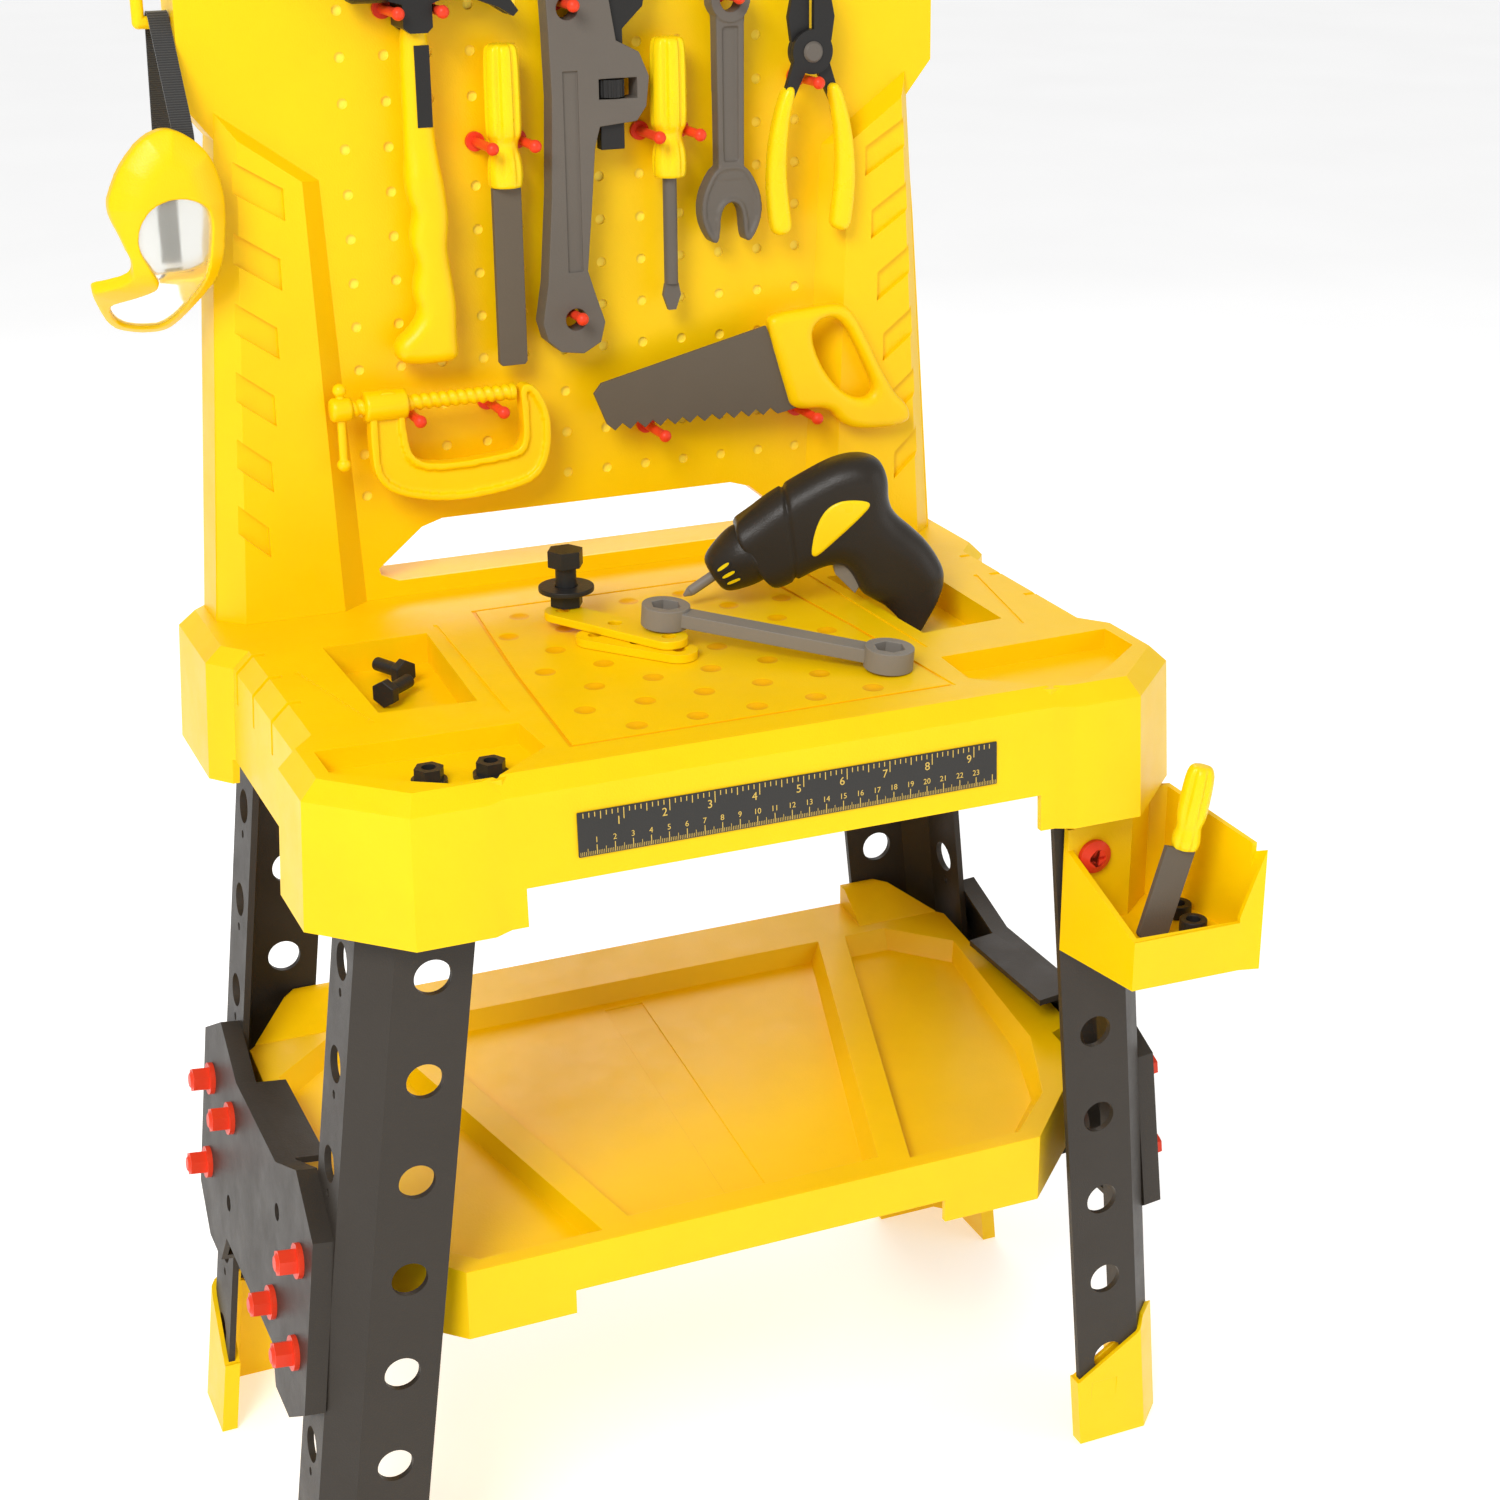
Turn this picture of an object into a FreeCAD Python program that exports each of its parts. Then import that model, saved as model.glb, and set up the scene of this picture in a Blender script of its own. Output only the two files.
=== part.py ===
import FreeCAD, Part
import math
import os

import Sketcher
from FreeCAD import Placement, Rotation, Vector

# Toy tool bench, in millimetres, +Z up.
# Working axes: X to the right, Y from the front wall of the bench (0) to its back, Z from the floor.
# Every finished piece is then moved by (-origin_x, -origin_y), so the origin is the middle of the footprint.

DIMENSIONS = {
    "origin_x": (-1.63, "middle of the whole object across"),
    "origin_y": (172.95, "middle of the whole object from front to back"),
    "deck_height": (541.7, "deck above the floor"),
    "bevel_drop": (9.4, "height of the bevel round the deck"),
    "bevel_inset": (9.7, "width of the bevel round the deck"),
    "skirt_bottom": (460.9, "underside of the corner blocks"),
    "skirt_draft": (3.9, "how far the skirt widens to its lower edge"),
    "bench_half": (253.7, "half width of the bench moulding"),
    "bench_depth": (387.0, "front to back of the bench moulding"),
    "block_chamfer": (44.0, "chamfer of each corner block"),
    "block_length": (44.3, "straight front of a corner block"),
    "front_recess": (5.0, "front wall behind the corner blocks"),
    "side_recess": (12.7, "side wall behind the corner blocks"),
    "shell_wall": (4.0, "wall of the bench moulding"),
    "front_notch_top": (482.0, "lower edge of the front and back skirt"),
    "side_notch_top": (476.0, "lower edge of the side skirt"),
    "front_tray_depth": (12.0, "depth of the two front trays"),
    "rear_tray_depth": (18.0, "depth of the two rear trays"),
    "groove_depth": (0.9, "depth of the lines drawn in the deck"),
    "dimple_radius": (16.0, "sphere that hollows a dimple of the deck"),
    "dimple_depth": (1.6, "depth of a dimple of the deck"),
    "dimple_pitch_x": (34.8, "dimple spacing across"),
    "dimple_pitch_y": (32.6, "dimple row spacing"),
    "dimple_first_row": (51.5, "first dimple row from the front"),
    "leg_floor_half": (283.3, "outer face of a leg at the floor, from the middle"),
    "leg_block_half": (230.9, "outer face of a leg at the corner block, from the middle"),
    "leg_floor_front": (42.0, "front face of a front leg at the floor"),
    "leg_block_front": (23.7, "front face of a front leg at the corner block"),
    "leg_floor_back": (48.4, "back face of a back leg at the floor, from the back of the bench"),
    "leg_block_back": (59.1, "back face of a back leg at the corner block, from the back of the bench"),
    "leg_front_flange": (60.3, "width of the front flange of a leg"),
    "leg_side_flange": (59.1, "width of the side flange of a leg"),
    "leg_chamfer": (16.9, "chamfer between the two flanges"),
    "leg_wall": (4.0, "wall of a leg"),
    "leg_hole_radius": (10.3, "large holes of a leg"),
    "leg_hole_pitch": (61.15, "spacing of the large holes"),
    "leg_hole_first": (63.4, "height of the lowest large hole"),
    "leg_hole_front_inset": (38.6, "hole axis from the outer corner, front flange"),
    "leg_hole_side_inset": (38.0, "hole axis from the outer corner, side flange"),
    "foot_grow": (3.0, "how far a foot stands outside its leg"),
    "foot_plate": (4.0, "floor of a foot"),
    "foot_height": (86.0, "tallest corner of a foot"),
    "bracket_middle": (186.0, "middle of a side bracket from the front of the bench"),
    "bracket_depth": (12.0, "thickness of a side bracket"),
    "bracket_skin": (3.5, "plate of a side bracket"),
    "bolt_flange_radius": (10.0, "flange of a bracket bolt"),
    "bolt_hex_radius": (7.8, "corner radius of a bracket bolt's hexagon"),
    "bolt_head_height": (13.0, "head of a bracket bolt above the bracket"),
    "shelf_half": (260.0, "half width of the shelf between the legs"),
    "shelf_leg_half": (244.0, "half width of the shelf inside the legs"),
    "shelf_front": (42.0, "front of the shelf"),
    "shelf_back": (326.0, "back of the shelf"),
    "shelf_bottom": (192.0, "underside of the shelf"),
    "shelf_front_rim": (236.0, "front rim of the shelf"),
    "shelf_back_rim": (286.0, "above the raised rear corners of the shelf"),
    "shelf_lean": (6.9, "slope of the shelf from front to back, degrees"),
    "shelf_recess": (12.0, "depth of the shelf compartments"),
    "shelf_wall": (4.0, "wall of the shelf moulding"),
    "bin_bottom": (372.0, "underside of the corner bin"),
    "bin_floor": (388.0, "inner floor of the corner bin"),
    "bin_front_rim": (402.0, "front rim of the corner bin"),
    "ruler_length": (243.0, "length of the ruler strip"),
    "ruler_height": (24.5, "height of the ruler strip"),
    "ruler_bottom": (494.0, "lower edge of the ruler strip"),
    "panel_front": (312.0, "front face of the back panel"),
    "panel_back": (345.0, "back face of the back panel"),
    "panel_top": (1005.0, "top of the back panel"),
    "upright_front": (298.0, "front face of the panel's uprights"),
    "band_pitch": (39.0, "spacing of the slanted bands on the uprights"),
    "band_depth": (3.2, "depth of the slanted bands"),
    "grid_pitch": (25.47, "spacing of the panel's peg grid"),
    "grid_first_x": (-140.6, "first column of the peg grid"),
    "grid_top": (887.5, "top row of pegs"),
    "grid_dimple_radius": (3.0, "dimples of the peg grid"),
    "grid_dimple_depth": (1.8, "depth of the dimples of the peg grid"),
    "peg_stem_radius": (2.75, "stem of a peg"),
    "peg_ball_radius": (3.75, "ball end of a peg"),
    "peg_base_radius": (5.6, "base disc of a peg"),
    "peg_base_height": (3.0, "base disc of a peg"),
    "peg_ball_y": (277.0, "middle of a peg's ball end"),
    "hook_radius": (3.5, "rod of a side hook"),
    "hook_height": (884.5, "rod of a side hook above the floor"),
    "hook_y": (325.0, "rod of a side hook from the front"),
    "tool_y": (295.0, "middle plane of the hung tools"),
    "fit_gap": (0.3, "gap between loose pieces and what holds them"),
    "drill_half": (18.0, "half width of the toy drill"),
    "drill_x": (90.0, "drill reference point across"),
    "drill_y": (198.5, "drill reference point from the front"),
    "drill_turn": (-18.54, "heading of the drill, degrees"),
    "link_thickness": (4.8, "thickness of a loose link plate"),
    "link_radius": (11.0, "rounded end of a loose link plate"),
    "wrench_length": (134.6, "between the two rings of the loose box wrench"),
    "wrench_ring": (14.0, "outer radius of a ring of the loose box wrench"),
}

doc = FreeCAD.newDocument("ToolBench")
sheet = doc.addObject("Spreadsheet::Sheet", "Sizes")


class Size:
    """A length with its value and the sheet formula it comes from."""

    def __init__(self, value, formula):
        self.value = value
        self.formula = formula

    def join(self, other, sign, value):
        other_formula = other.formula if isinstance(other, Size) else "%.6g" % other
        return Size(value, "(%s %s %s)" % (self.formula, sign, other_formula))

    def __add__(self, other):
        return self.join(other, "+", self.value + number(other))

    def __sub__(self, other):
        return self.join(other, "-", self.value - number(other))

    def __mul__(self, other):
        return self.join(other, "*", self.value * number(other))

    def __truediv__(self, other):
        return self.join(other, "/", self.value / number(other))

    def __neg__(self):
        return Size(-self.value, "(0 - %s)" % self.formula)

    def __radd__(self, other):
        return self + other

    def __rsub__(self, other):
        return -self + other

    def __rmul__(self, other):
        return self * other

    def __rtruediv__(self, other):
        return Size(other / self.value, "(%.6g / %s)" % (other, self.formula))


class Cells:
    """The sheet's cells by name."""

    def __getattr__(self, name):
        return Size(DIMENSIONS[name][0], "Sizes." + name)


def number(value):
    return value.value if isinstance(value, Size) else float(value)


def fill_sheet():
    for row, (name, (value, meaning)) in enumerate(DIMENSIONS.items(), start=1):
        sheet.set("A%d" % row, meaning)
        sheet.set("B%d" % row, "%g" % value)
        sheet.setAlias("B%d" % row, name)
    doc.recompute()


def bind(thing, prop, value):
    """Give a property a plain value, or tie it to the sheet."""
    if isinstance(value, Size):
        thing.setExpression(prop, value.formula)
    else:
        setattr(thing, prop, value)


def put(thing, at=(0, 0, 0), turn=None):
    """Place an object, tying the coordinates that come from the sheet."""
    thing.Placement = Placement(Vector(*[number(value) for value in at]), turn or Rotation())
    for axis, value in zip("xyz", at):
        if isinstance(value, Size):
            thing.setExpression("Placement.Base." + axis, value.formula)
    return thing


def along(direction):
    """Rotation that points a primitive's own Z along a direction."""
    return Rotation(Vector(0, 0, 1), Vector(*direction))


X_AXIS, Y_AXIS, Z_AXIS = (1, 0, 0), (0, 1, 0), (0, 0, 1)


def primitive(kind, name, at, turn=None, **sizes):
    thing = doc.addObject("Part::" + kind, name)
    for prop, value in sizes.items():
        bind(thing, prop, value)
    return put(thing, at, turn)


def block(name, x0, x1, y0, y1, z0, z1):
    return primitive("Box", name, (x0, y0, z0), Length=x1 - x0, Width=y1 - y0, Height=z1 - z0)


def rod(name, at, direction, radius, length):
    return primitive("Cylinder", name, at, along(direction), Radius=radius, Height=length)


def cone(name, at, direction, radius, end_radius, length):
    return primitive("Cone", name, at, along(direction), Radius1=radius, Radius2=end_radius, Height=length)


def ball(name, at, radius):
    return primitive("Sphere", name, at, Radius=radius)


def hexagon(name, at, direction, radius, length):
    return primitive("Prism", name, at, along(direction), Polygon=6, Circumradius=radius, Height=length)


def fuse(name, *pieces):
    joined = doc.addObject("Part::MultiFuse", name)
    joined.Shapes = list(pieces)
    return joined


def group(name, pieces):
    gathered = doc.addObject("Part::Compound", name)
    gathered.Links = list(pieces)
    return gathered


def cut(name, base, *tools):
    result = doc.addObject("Part::Cut", name)
    result.Base = base
    result.Tool = tools[0] if len(tools) == 1 else group(name + "_tools", tools)
    return result


# --- sketches -------------------------------------------------------------------------------------

PLANE_TURN = {
    "XY": Rotation(),
    "XZ": Rotation(Vector(1, 0, 0), 90),
    "YZ": Rotation(Vector(1, 1, 1), 120),
}
NORMAL_SIGN = {"XY": 1, "XZ": -1, "YZ": 1}
NORMAL_AXIS = {"XY": "z", "XZ": "y", "YZ": "x"}


def pin(sketch, edge, values):
    """Hold the start of an edge at a point of the sketch."""
    for kind, axis, value in zip(("DistanceX", "DistanceY"), (-2, -1), values):
        if number(value) == 0:
            sketch.addConstraint(Sketcher.Constraint("PointOnObject", edge, 1, axis))
            continue
        held = sketch.addConstraint(Sketcher.Constraint(kind, -1, 1, edge, 1, number(value)))
        if isinstance(value, Size):
            sketch.setExpression("Constraints[%d]" % held, value.formula)


def outline(sketch, points):
    """Closed outline of straight edges through the points, all of them held."""
    first = sketch.GeometryCount
    corners = [Vector(number(a), number(b), 0) for a, b in points]
    count = len(corners)
    for index in range(count):
        sketch.addGeometry(Part.LineSegment(corners[index], corners[(index + 1) % count]), False)
    for index in range(count):
        follower = first + (index + 1) % count
        sketch.addConstraint(Sketcher.Constraint("Coincident", first + index, 2, follower, 1))
    for index, values in enumerate(points):
        pin(sketch, first + index, values)


def flat_sketch(name, plane, level, *loops):
    """A sketch parallel to a main plane; level is its place along the third axis."""
    sketch = doc.addObject("Sketcher::SketchObject", name)
    at = [0, 0, 0]
    at["xyz".index(NORMAL_AXIS[plane])] = level
    put(sketch, at, PLANE_TURN[plane])
    for points in loops:
        outline(sketch, points)
    return sketch


def slab(name, plane, level, end_level, *loops, lean=(0, 0)):
    """A plate of a flat outline between two levels; lean shifts the far face sideways."""
    sketch = flat_sketch(name + "_outline", plane, level, *loops)
    plate = doc.addObject("Part::Extrusion", name)
    plate.Base = sketch
    plate.DirMode = "Custom"
    third = "xyz".index(NORMAL_AXIS[plane])
    travel = [lean[0], lean[1]]
    travel.insert(third, end_level - level)
    plate.Dir = Vector(*[number(value) for value in travel])
    for axis, value in zip("xyz", travel):
        if isinstance(value, Size):
            plate.setExpression("Dir." + axis, value.formula)
    plate.Solid = True
    return plate


def loft(name, *sections):
    skin = doc.addObject("Part::Loft", name)
    skin.Sections = list(sections)
    skin.Solid = True
    skin.Ruled = True
    return skin


def flipped(points, side):
    return [(side * a, b) for a, b in points]


def grown(points, extra):
    """Points moved away from the middle of an outline by about the extra distance."""
    middle_x = sum(number(a) for a, _ in points) / len(points)
    middle_y = sum(number(b) for _, b in points) / len(points)
    moved = []
    for a, b in points:
        reach = math.hypot(number(a) - middle_x, number(b) - middle_y)
        factor = 1 + extra / reach
        moved.append((middle_x + (number(a) - middle_x) * factor,
                      middle_y + (number(b) - middle_y) * factor))
    return moved


# --- PartDesign mouldings -------------------------------------------------------------------------


class Moulding:
    """A PartDesign body made of pads and pockets on its own main planes."""

    def __init__(self, name):
        self.body = doc.addObject("PartDesign::Body", name)

    def sketch(self, plane, level, loops):
        sketch = self.body.newObject("Sketcher::SketchObject", "Sketch")
        role = plane + "_Plane"
        home = [item for item in self.body.Origin.OriginFeatures if item.Role == role][0]
        sketch.AttachmentSupport = [(home, "")]
        sketch.MapMode = "FlatFace"
        offset = NORMAL_SIGN[plane] * level
        sketch.AttachmentOffset = Placement(Vector(0, 0, number(offset)), Rotation())
        if isinstance(offset, Size):
            sketch.setExpression("AttachmentOffset.Base.z", offset.formula)
        for points in loops:
            if len(points) == 3 and not isinstance(points[0], tuple):
                a, b, radius = points
                edge = sketch.addGeometry(Part.Circle(Vector(number(a), number(b), 0), Vector(0, 0, 1),
                                                      number(radius)), False)
                held = sketch.addConstraint(Sketcher.Constraint("Radius", edge, number(radius)))
                if isinstance(radius, Size):
                    sketch.setExpression("Constraints[%d]" % held, radius.formula)
            else:
                outline(sketch, points)
        return sketch

    def feature(self, kind, plane, level, end_level, loops):
        sketch = self.sketch(plane, level, loops)
        forward = number(end_level) > number(level)
        upward = forward == (NORMAL_SIGN[plane] > 0)
        made = self.body.newObject("PartDesign::" + kind, kind)
        made.Profile = sketch
        made.Type = "Length"
        bind(made, "Length", end_level - level if forward else level - end_level)
        made.Reversed = upward if kind == "Pocket" else not upward
        return made

    def pad(self, plane, level, end_level, *loops):
        return self.feature("Pad", plane, level, end_level, loops)

    def pocket(self, plane, level, end_level, *loops):
        doc.recompute()
        before = self.body.Shape.Volume
        made = self.feature("Pocket", plane, level, end_level, loops)
        doc.recompute()
        if self.body.Shape.Volume >= before:
            raise ValueError("a pocket of %s cuts nothing" % self.body.Name)
        return made

    def grid(self, feature, plane_axes, counts, pitches):
        """Repeat a feature along two of the sketch's own directions."""
        sketch = feature.Profile[0]
        pattern = self.body.newObject("PartDesign::LinearPattern", "Grid")
        pattern.Originals = [feature]
        pattern.Direction = (sketch, [plane_axes[0]])
        pattern.Mode = "Spacing"
        pattern.Occurrences = counts[0]
        bind(pattern, "Offset", pitches[0])
        pattern.Direction2 = (sketch, [plane_axes[1]])
        pattern.Mode2 = "Spacing"
        pattern.Occurrences2 = counts[1]
        bind(pattern, "Offset2", pitches[1])
        self.body.Tip = pattern
        return pattern


cells = Cells()
nodes = []


def node(name, thing, at=(0, 0, 0), turn=None):
    """Name a finished piece and move it into the object's own frame."""
    thing.Label = name
    put(thing, (at[0] - cells.origin_x, at[1] - cells.origin_y, at[2]), turn)
    nodes.append(thing)


# --- bench moulding -------------------------------------------------------------------------------

def mirrored(right):
    """Closed outline from its right half."""
    return right + [(-a, b) for a, b in reversed(right)]


def bench_outline(spread):
    """Outline of the bench moulding, moved outwards by the spread."""
    half, deep, chamfer = cells.bench_half, cells.bench_depth, cells.block_chamfer
    flat = half - chamfer
    inner = flat - cells.block_length - 6.4
    soft = 0.414
    waist = half - cells.side_recess
    right = [
        (inner, cells.front_recess, 0, -1), (inner + 10, 0, 0, -1), (flat, 0, soft, -1),
        (half, chamfer, 1, -soft), (half, chamfer + 48, 1, 0), (waist, chamfer + 64, 1, 0),
        (waist, deep - 135, 1, 0), (half, deep - 119, 1, 0), (half, deep - chamfer, 1, soft),
        (flat, deep, soft, 1), (inner + 10, deep, 0, 1), (inner, deep - cells.front_recess, 0, 1),
    ]
    return mirrored([(x + nx * spread, y + ny * spread) for x, y, nx, ny in right])


FRONT_TRAY = [(236, 84), (126, 80), (124, 42), (160, 13), (184, 14), (206, 28), (236, 53)]
REAR_TRAY = [(191, 240), (129, 240), (136, 121), (190, 125)]
FIELD_LINE = [(113, 36), (105, 150), (93, 268)]
FIELD_LINE_INSIDE = [(110.5, 38.5), (102.6, 150), (90.8, 265.5)]
SIDE_LINES = [[(119, 252), (121.5, 252), (127.5, 98), (125, 98)],
              [(214, 206), (216.5, 206), (198, 112), (195.5, 112)]]


def deck_dimples():
    """Staggered rows of shallow round dimples."""
    spheres = []
    for row in range(7):
        columns = (-2, -1, 0, 1, 2) if row % 2 == 0 else (-2.5, -1.5, -0.5, 0.5, 1.5, 2.5)
        for column in columns:
            at = (column * cells.dimple_pitch_x, cells.dimple_first_row + row * cells.dimple_pitch_y,
                  cells.deck_height + cells.dimple_radius - cells.dimple_depth)
            spheres.append(ball("deck_dimple", at, cells.dimple_radius))
    return spheres


def deck_lines():
    """Shallow lines round the dimple field and beside the rear trays."""
    top, low = cells.deck_height + 1, cells.deck_height - cells.groove_depth
    lines = [slab("field_line", "XY", low, top, mirrored(FIELD_LINE), mirrored(FIELD_LINE_INSIDE))]
    for side in (-1, 1):
        lines += [slab("side_line", "XY", low, top, flipped(shape, side)) for shape in SIDE_LINES]
    return lines


def finger_grooves():
    """Three narrow grooves over each side edge of the deck."""
    top = cells.deck_height
    shape = [(224, top + 1), (224, top - 2), (231, top - 2), (238.4, top - 11), (238.7, top - 28.5),
             (246, top - 28.5), (246, top + 1)]
    grooves = []
    for side in (-1, 1):
        for middle in (159, 203, 243):
            grooves.append(slab("finger_groove", "XZ", middle - 2, middle + 2, flipped(shape, side)))
    return grooves


def bench_top():
    top, bevel, wall = cells.deck_height, cells.deck_height - cells.bevel_drop, cells.shell_wall
    bottom = cells.skirt_bottom
    outside = loft("bench_outside",
                   flat_sketch("bench_foot", "XY", bottom, bench_outline(cells.skirt_draft)),
                   flat_sketch("bench_bevel", "XY", bevel, bench_outline(0)),
                   flat_sketch("bench_deck", "XY", top, bench_outline(-cells.bevel_inset)))
    hollow = loft("bench_hollow",
                  flat_sketch("hollow_foot", "XY", bottom - 1, bench_outline(cells.skirt_draft - wall)),
                  flat_sketch("hollow_bevel", "XY", bevel - 3, bench_outline(-wall - 1)),
                  flat_sketch("hollow_deck", "XY", top - wall, bench_outline(-cells.bevel_inset - 3)))
    tubs, trays = [], []
    for side in (-1, 1):
        for shape, depth in ((FRONT_TRAY, cells.front_tray_depth), (REAR_TRAY, cells.rear_tray_depth)):
            tubs.append(slab("tray_tub", "XY", top - depth - wall, top - 1, flipped(grown(shape, 3), side)))
            trays.append(slab("tray", "XY", top - depth, top + 1, flipped(shape, side)))
    inside = slab("bench_tub_limit", "XY", bottom, top - 1, bench_outline(-wall))
    tub_solids = doc.addObject("Part::MultiCommon", "tray_tubs")
    tub_solids.Shapes = [group("tray_tub_group", tubs), inside]
    shell = fuse("bench_shell", cut("bench_walls", outside, hollow), tub_solids)
    deep = cells.bench_depth
    notch = cells.bench_half - cells.block_chamfer - cells.block_length - 15.4
    notches = [block("front_notch", -notch, notch, -10, 20, 450, cells.front_notch_top),
               block("back_notch", -notch, notch, deep - 20, deep + 10, 450, cells.front_notch_top)]
    for side in (-1, 1):
        notches.append(block("side_notch", side * 250 - 25, side * 250 + 25, 106, deep - 133, 450,
                             cells.side_notch_top))
    marks = deck_dimples() + deck_lines() + finger_grooves()
    node("bench_top", cut("bench_moulding", shell, *trays, *notches, *marks))


def ruler_strip():
    """Flat strip on the front wall, leaning back with the wall's draft."""
    tilt = math.degrees(math.atan(DIMENSIONS["skirt_draft"][0] / (532.3 - 460.9)))
    half = cells.ruler_length / 2
    strip = block("ruler_plate", -half, half, -1.2, 0, 0, cells.ruler_height)
    foot = group("ruler_strip_group", [strip])
    node("ruler_strip", foot, at=(0, 2.9, cells.ruler_bottom), turn=Rotation(Vector(1, 0, 0), -tilt))


# --- legs, feet and side brackets -----------------------------------------------------------------

def leg_corner(side, back, height):
    """Outer corner of a leaning leg at a height."""
    share = height / cells.skirt_bottom
    x = cells.leg_floor_half - share * (cells.leg_floor_half - cells.leg_block_half)
    if back:
        inset = cells.leg_floor_back + share * (cells.leg_block_back - cells.leg_floor_back)
        return side * x, cells.bench_depth - inset
    return side * x, cells.leg_floor_front - share * (cells.leg_floor_front - cells.leg_block_front)


def leg_section(side, back, height, grow=0):
    """L-shaped section of a leg with a chamfered outer corner."""
    x, y = leg_corner(side, back, height)
    deep = -1 if back else 1
    soft = 0.414
    outer, inner = -grow, cells.leg_wall + grow
    cut_out = cells.leg_chamfer - soft * grow
    cut_in = cells.leg_chamfer + soft * (cells.leg_wall + grow)
    wide, long = cells.leg_front_flange + grow, cells.leg_side_flange + grow
    shape = [(wide, outer), (cut_out, outer), (outer, cut_out), (outer, long), (inner, long),
             (inner, cut_in), (cut_in, inner), (wide, inner)]
    return [(x - side * u, y + deep * v) for u, v in shape]


def leg_run(side, back, low, high):
    """Sideways shift of a leg between two heights."""
    x0, y0 = leg_corner(side, back, low)
    x1, y1 = leg_corner(side, back, high)
    return x1 - x0, y1 - y0


def leg_bar(name, side, back, low, high, grow=0):
    shape = leg_section(side, back, low, grow)
    return slab(name, "XY", low, high, shape, lean=leg_run(side, back, low, high))


def leg_holes(side, back):
    """Large holes along both flanges, and a small one under each in the side flange."""
    drills = []
    deep = -1 if back else 1
    for step in range(7):
        height = cells.leg_hole_first + step * cells.leg_hole_pitch
        x, y = leg_corner(side, back, height)
        across = x - side * cells.leg_hole_front_inset
        deeper = y + deep * cells.leg_hole_side_inset
        drills.append(rod("leg_hole", (across, y - 15, height), Y_AXIS, cells.leg_hole_radius, 30))
        drills.append(rod("leg_hole", (x - 15, deeper, height), X_AXIS, cells.leg_hole_radius, 30))
        drills.append(rod("leg_small_hole", (x - 15, deeper, height - 18), X_AXIS, 2.5, 30))
    return drills


def leg_and_foot(side, back):
    where = ("back" if back else "front") + ("_right" if side > 0 else "_left")
    plate, grow = cells.foot_plate, cells.foot_grow
    roof = cells.deck_height - cells.shell_wall if back else (
        cells.deck_height - cells.front_tray_depth - cells.shell_wall)
    bar = leg_bar("leg_bar", side, back, plate, roof)
    node("leg_" + where, cut("leg_drilled", bar, *leg_holes(side, back)))
    high = cells.foot_height
    cap = leg_bar("foot_block", side, back, 0, high, grow)
    slot = leg_bar("foot_slot", side, back, plate, high + 1)
    x, y = leg_corner(side, back, 60)
    deep = -1 if back else 1
    front_slope = [(x - side * 80, 50), (x - side * 60, 50), (x - side * 20, 77), (x - side * 14, high),
                   (x - side * 14, high + 5), (x - side * 80, high + 5)]
    side_slope = [(y + deep * 80, 50), (y + deep * 60, 50), (y + deep * 20, 77), (y + deep * 14, high),
                  (y + deep * 14, high + 5), (y + deep * 80, high + 5)]
    front_cut = slab("foot_front_slope", "XZ", y - 9, y + 9, front_slope)
    side_cut = slab("foot_side_slope", "YZ", x - 12, x + 12, side_slope)
    pad_x, pad_y = leg_corner(side, back, 33)
    grip = block("foot_recess", pad_x - side * 45 - 9, pad_x - side * 45 + 9,
                 pad_y - deep * (grow + 3) - 2, pad_y - deep * (grow + 3) + 3.2, 20, 47)
    node("foot_" + where, cut("foot_cap", cap, slot, front_cut, side_cut, grip))


def bracket_outline(shrink=0):
    """Half of a side bracket's outline, distance from its middle and height above its lowest edge."""
    half = [(0, 22), (60, 22), (72, 0), (104, 0), (136, 22), (136, 131), (95, 154), (50, 135)]
    lifted = []
    for across, up in half:
        across = across - shrink if across > 0 else across
        up = up + shrink if up < 80 else up - shrink
        lifted.append((across, up))
    return lifted


BRACKET_HOLES = [(-112, 107), (-58, 107), (58, 107), (112, 107), (-112, 48), (-58, 48), (58, 48), (112, 48)]
BRACKET_BOLTS = [(-112, 107), (-112, 48), (112, 107), (112, 48), (58, 107), (-58, 48)]
BRACKET_LOW = 140


def bracket_place(side):
    """Foot of the leaning plane that a side bracket lies in, and its lean."""
    x, _ = leg_corner(side, False, BRACKET_LOW)
    slope = (cells.leg_floor_half - cells.leg_block_half) / cells.skirt_bottom
    lean = math.degrees(math.atan(number(slope)))
    return (x, cells.bracket_middle, BRACKET_LOW), Rotation(Vector(0, 1, 0), -side * lean)


def side_bracket(side):
    """Leaning plate with a rim, bosses round its bolt holes, and a deep rim between the legs."""
    name = "side_bracket_" + ("right" if side > 0 else "left")
    plate = Moulding(name + "_plate")
    half = bracket_outline()
    whole = half + [(-a, b) for a, b in reversed(half) if a > 0]
    inner = bracket_outline(4)
    hollow = inner + [(-a, b) for a, b in reversed(inner) if a > 0]
    depth = side * cells.bracket_depth
    plate.pad("YZ", 0 * cells.bracket_depth, depth, whole)
    plate.pocket("YZ", 0 * cells.bracket_depth, depth - side * cells.bracket_skin, hollow)
    bosses = [(across, up, 13) for across, up in BRACKET_HOLES]
    plate.pad("YZ", depth - side, 0 * cells.bracket_depth, *bosses)
    plate.pad("YZ", depth - side, -side * 18, [(-58, 22), (58, 22), (58, 26), (-58, 26)],
              [(-48, 131), (48, 131), (48, 135), (-48, 135)])
    plate.pocket("YZ", depth + side, -side, *[(a, b, 5.2) for a, b in BRACKET_HOLES])
    at, turn = bracket_place(side)
    node(name, plate.body, at=at, turn=turn)


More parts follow.
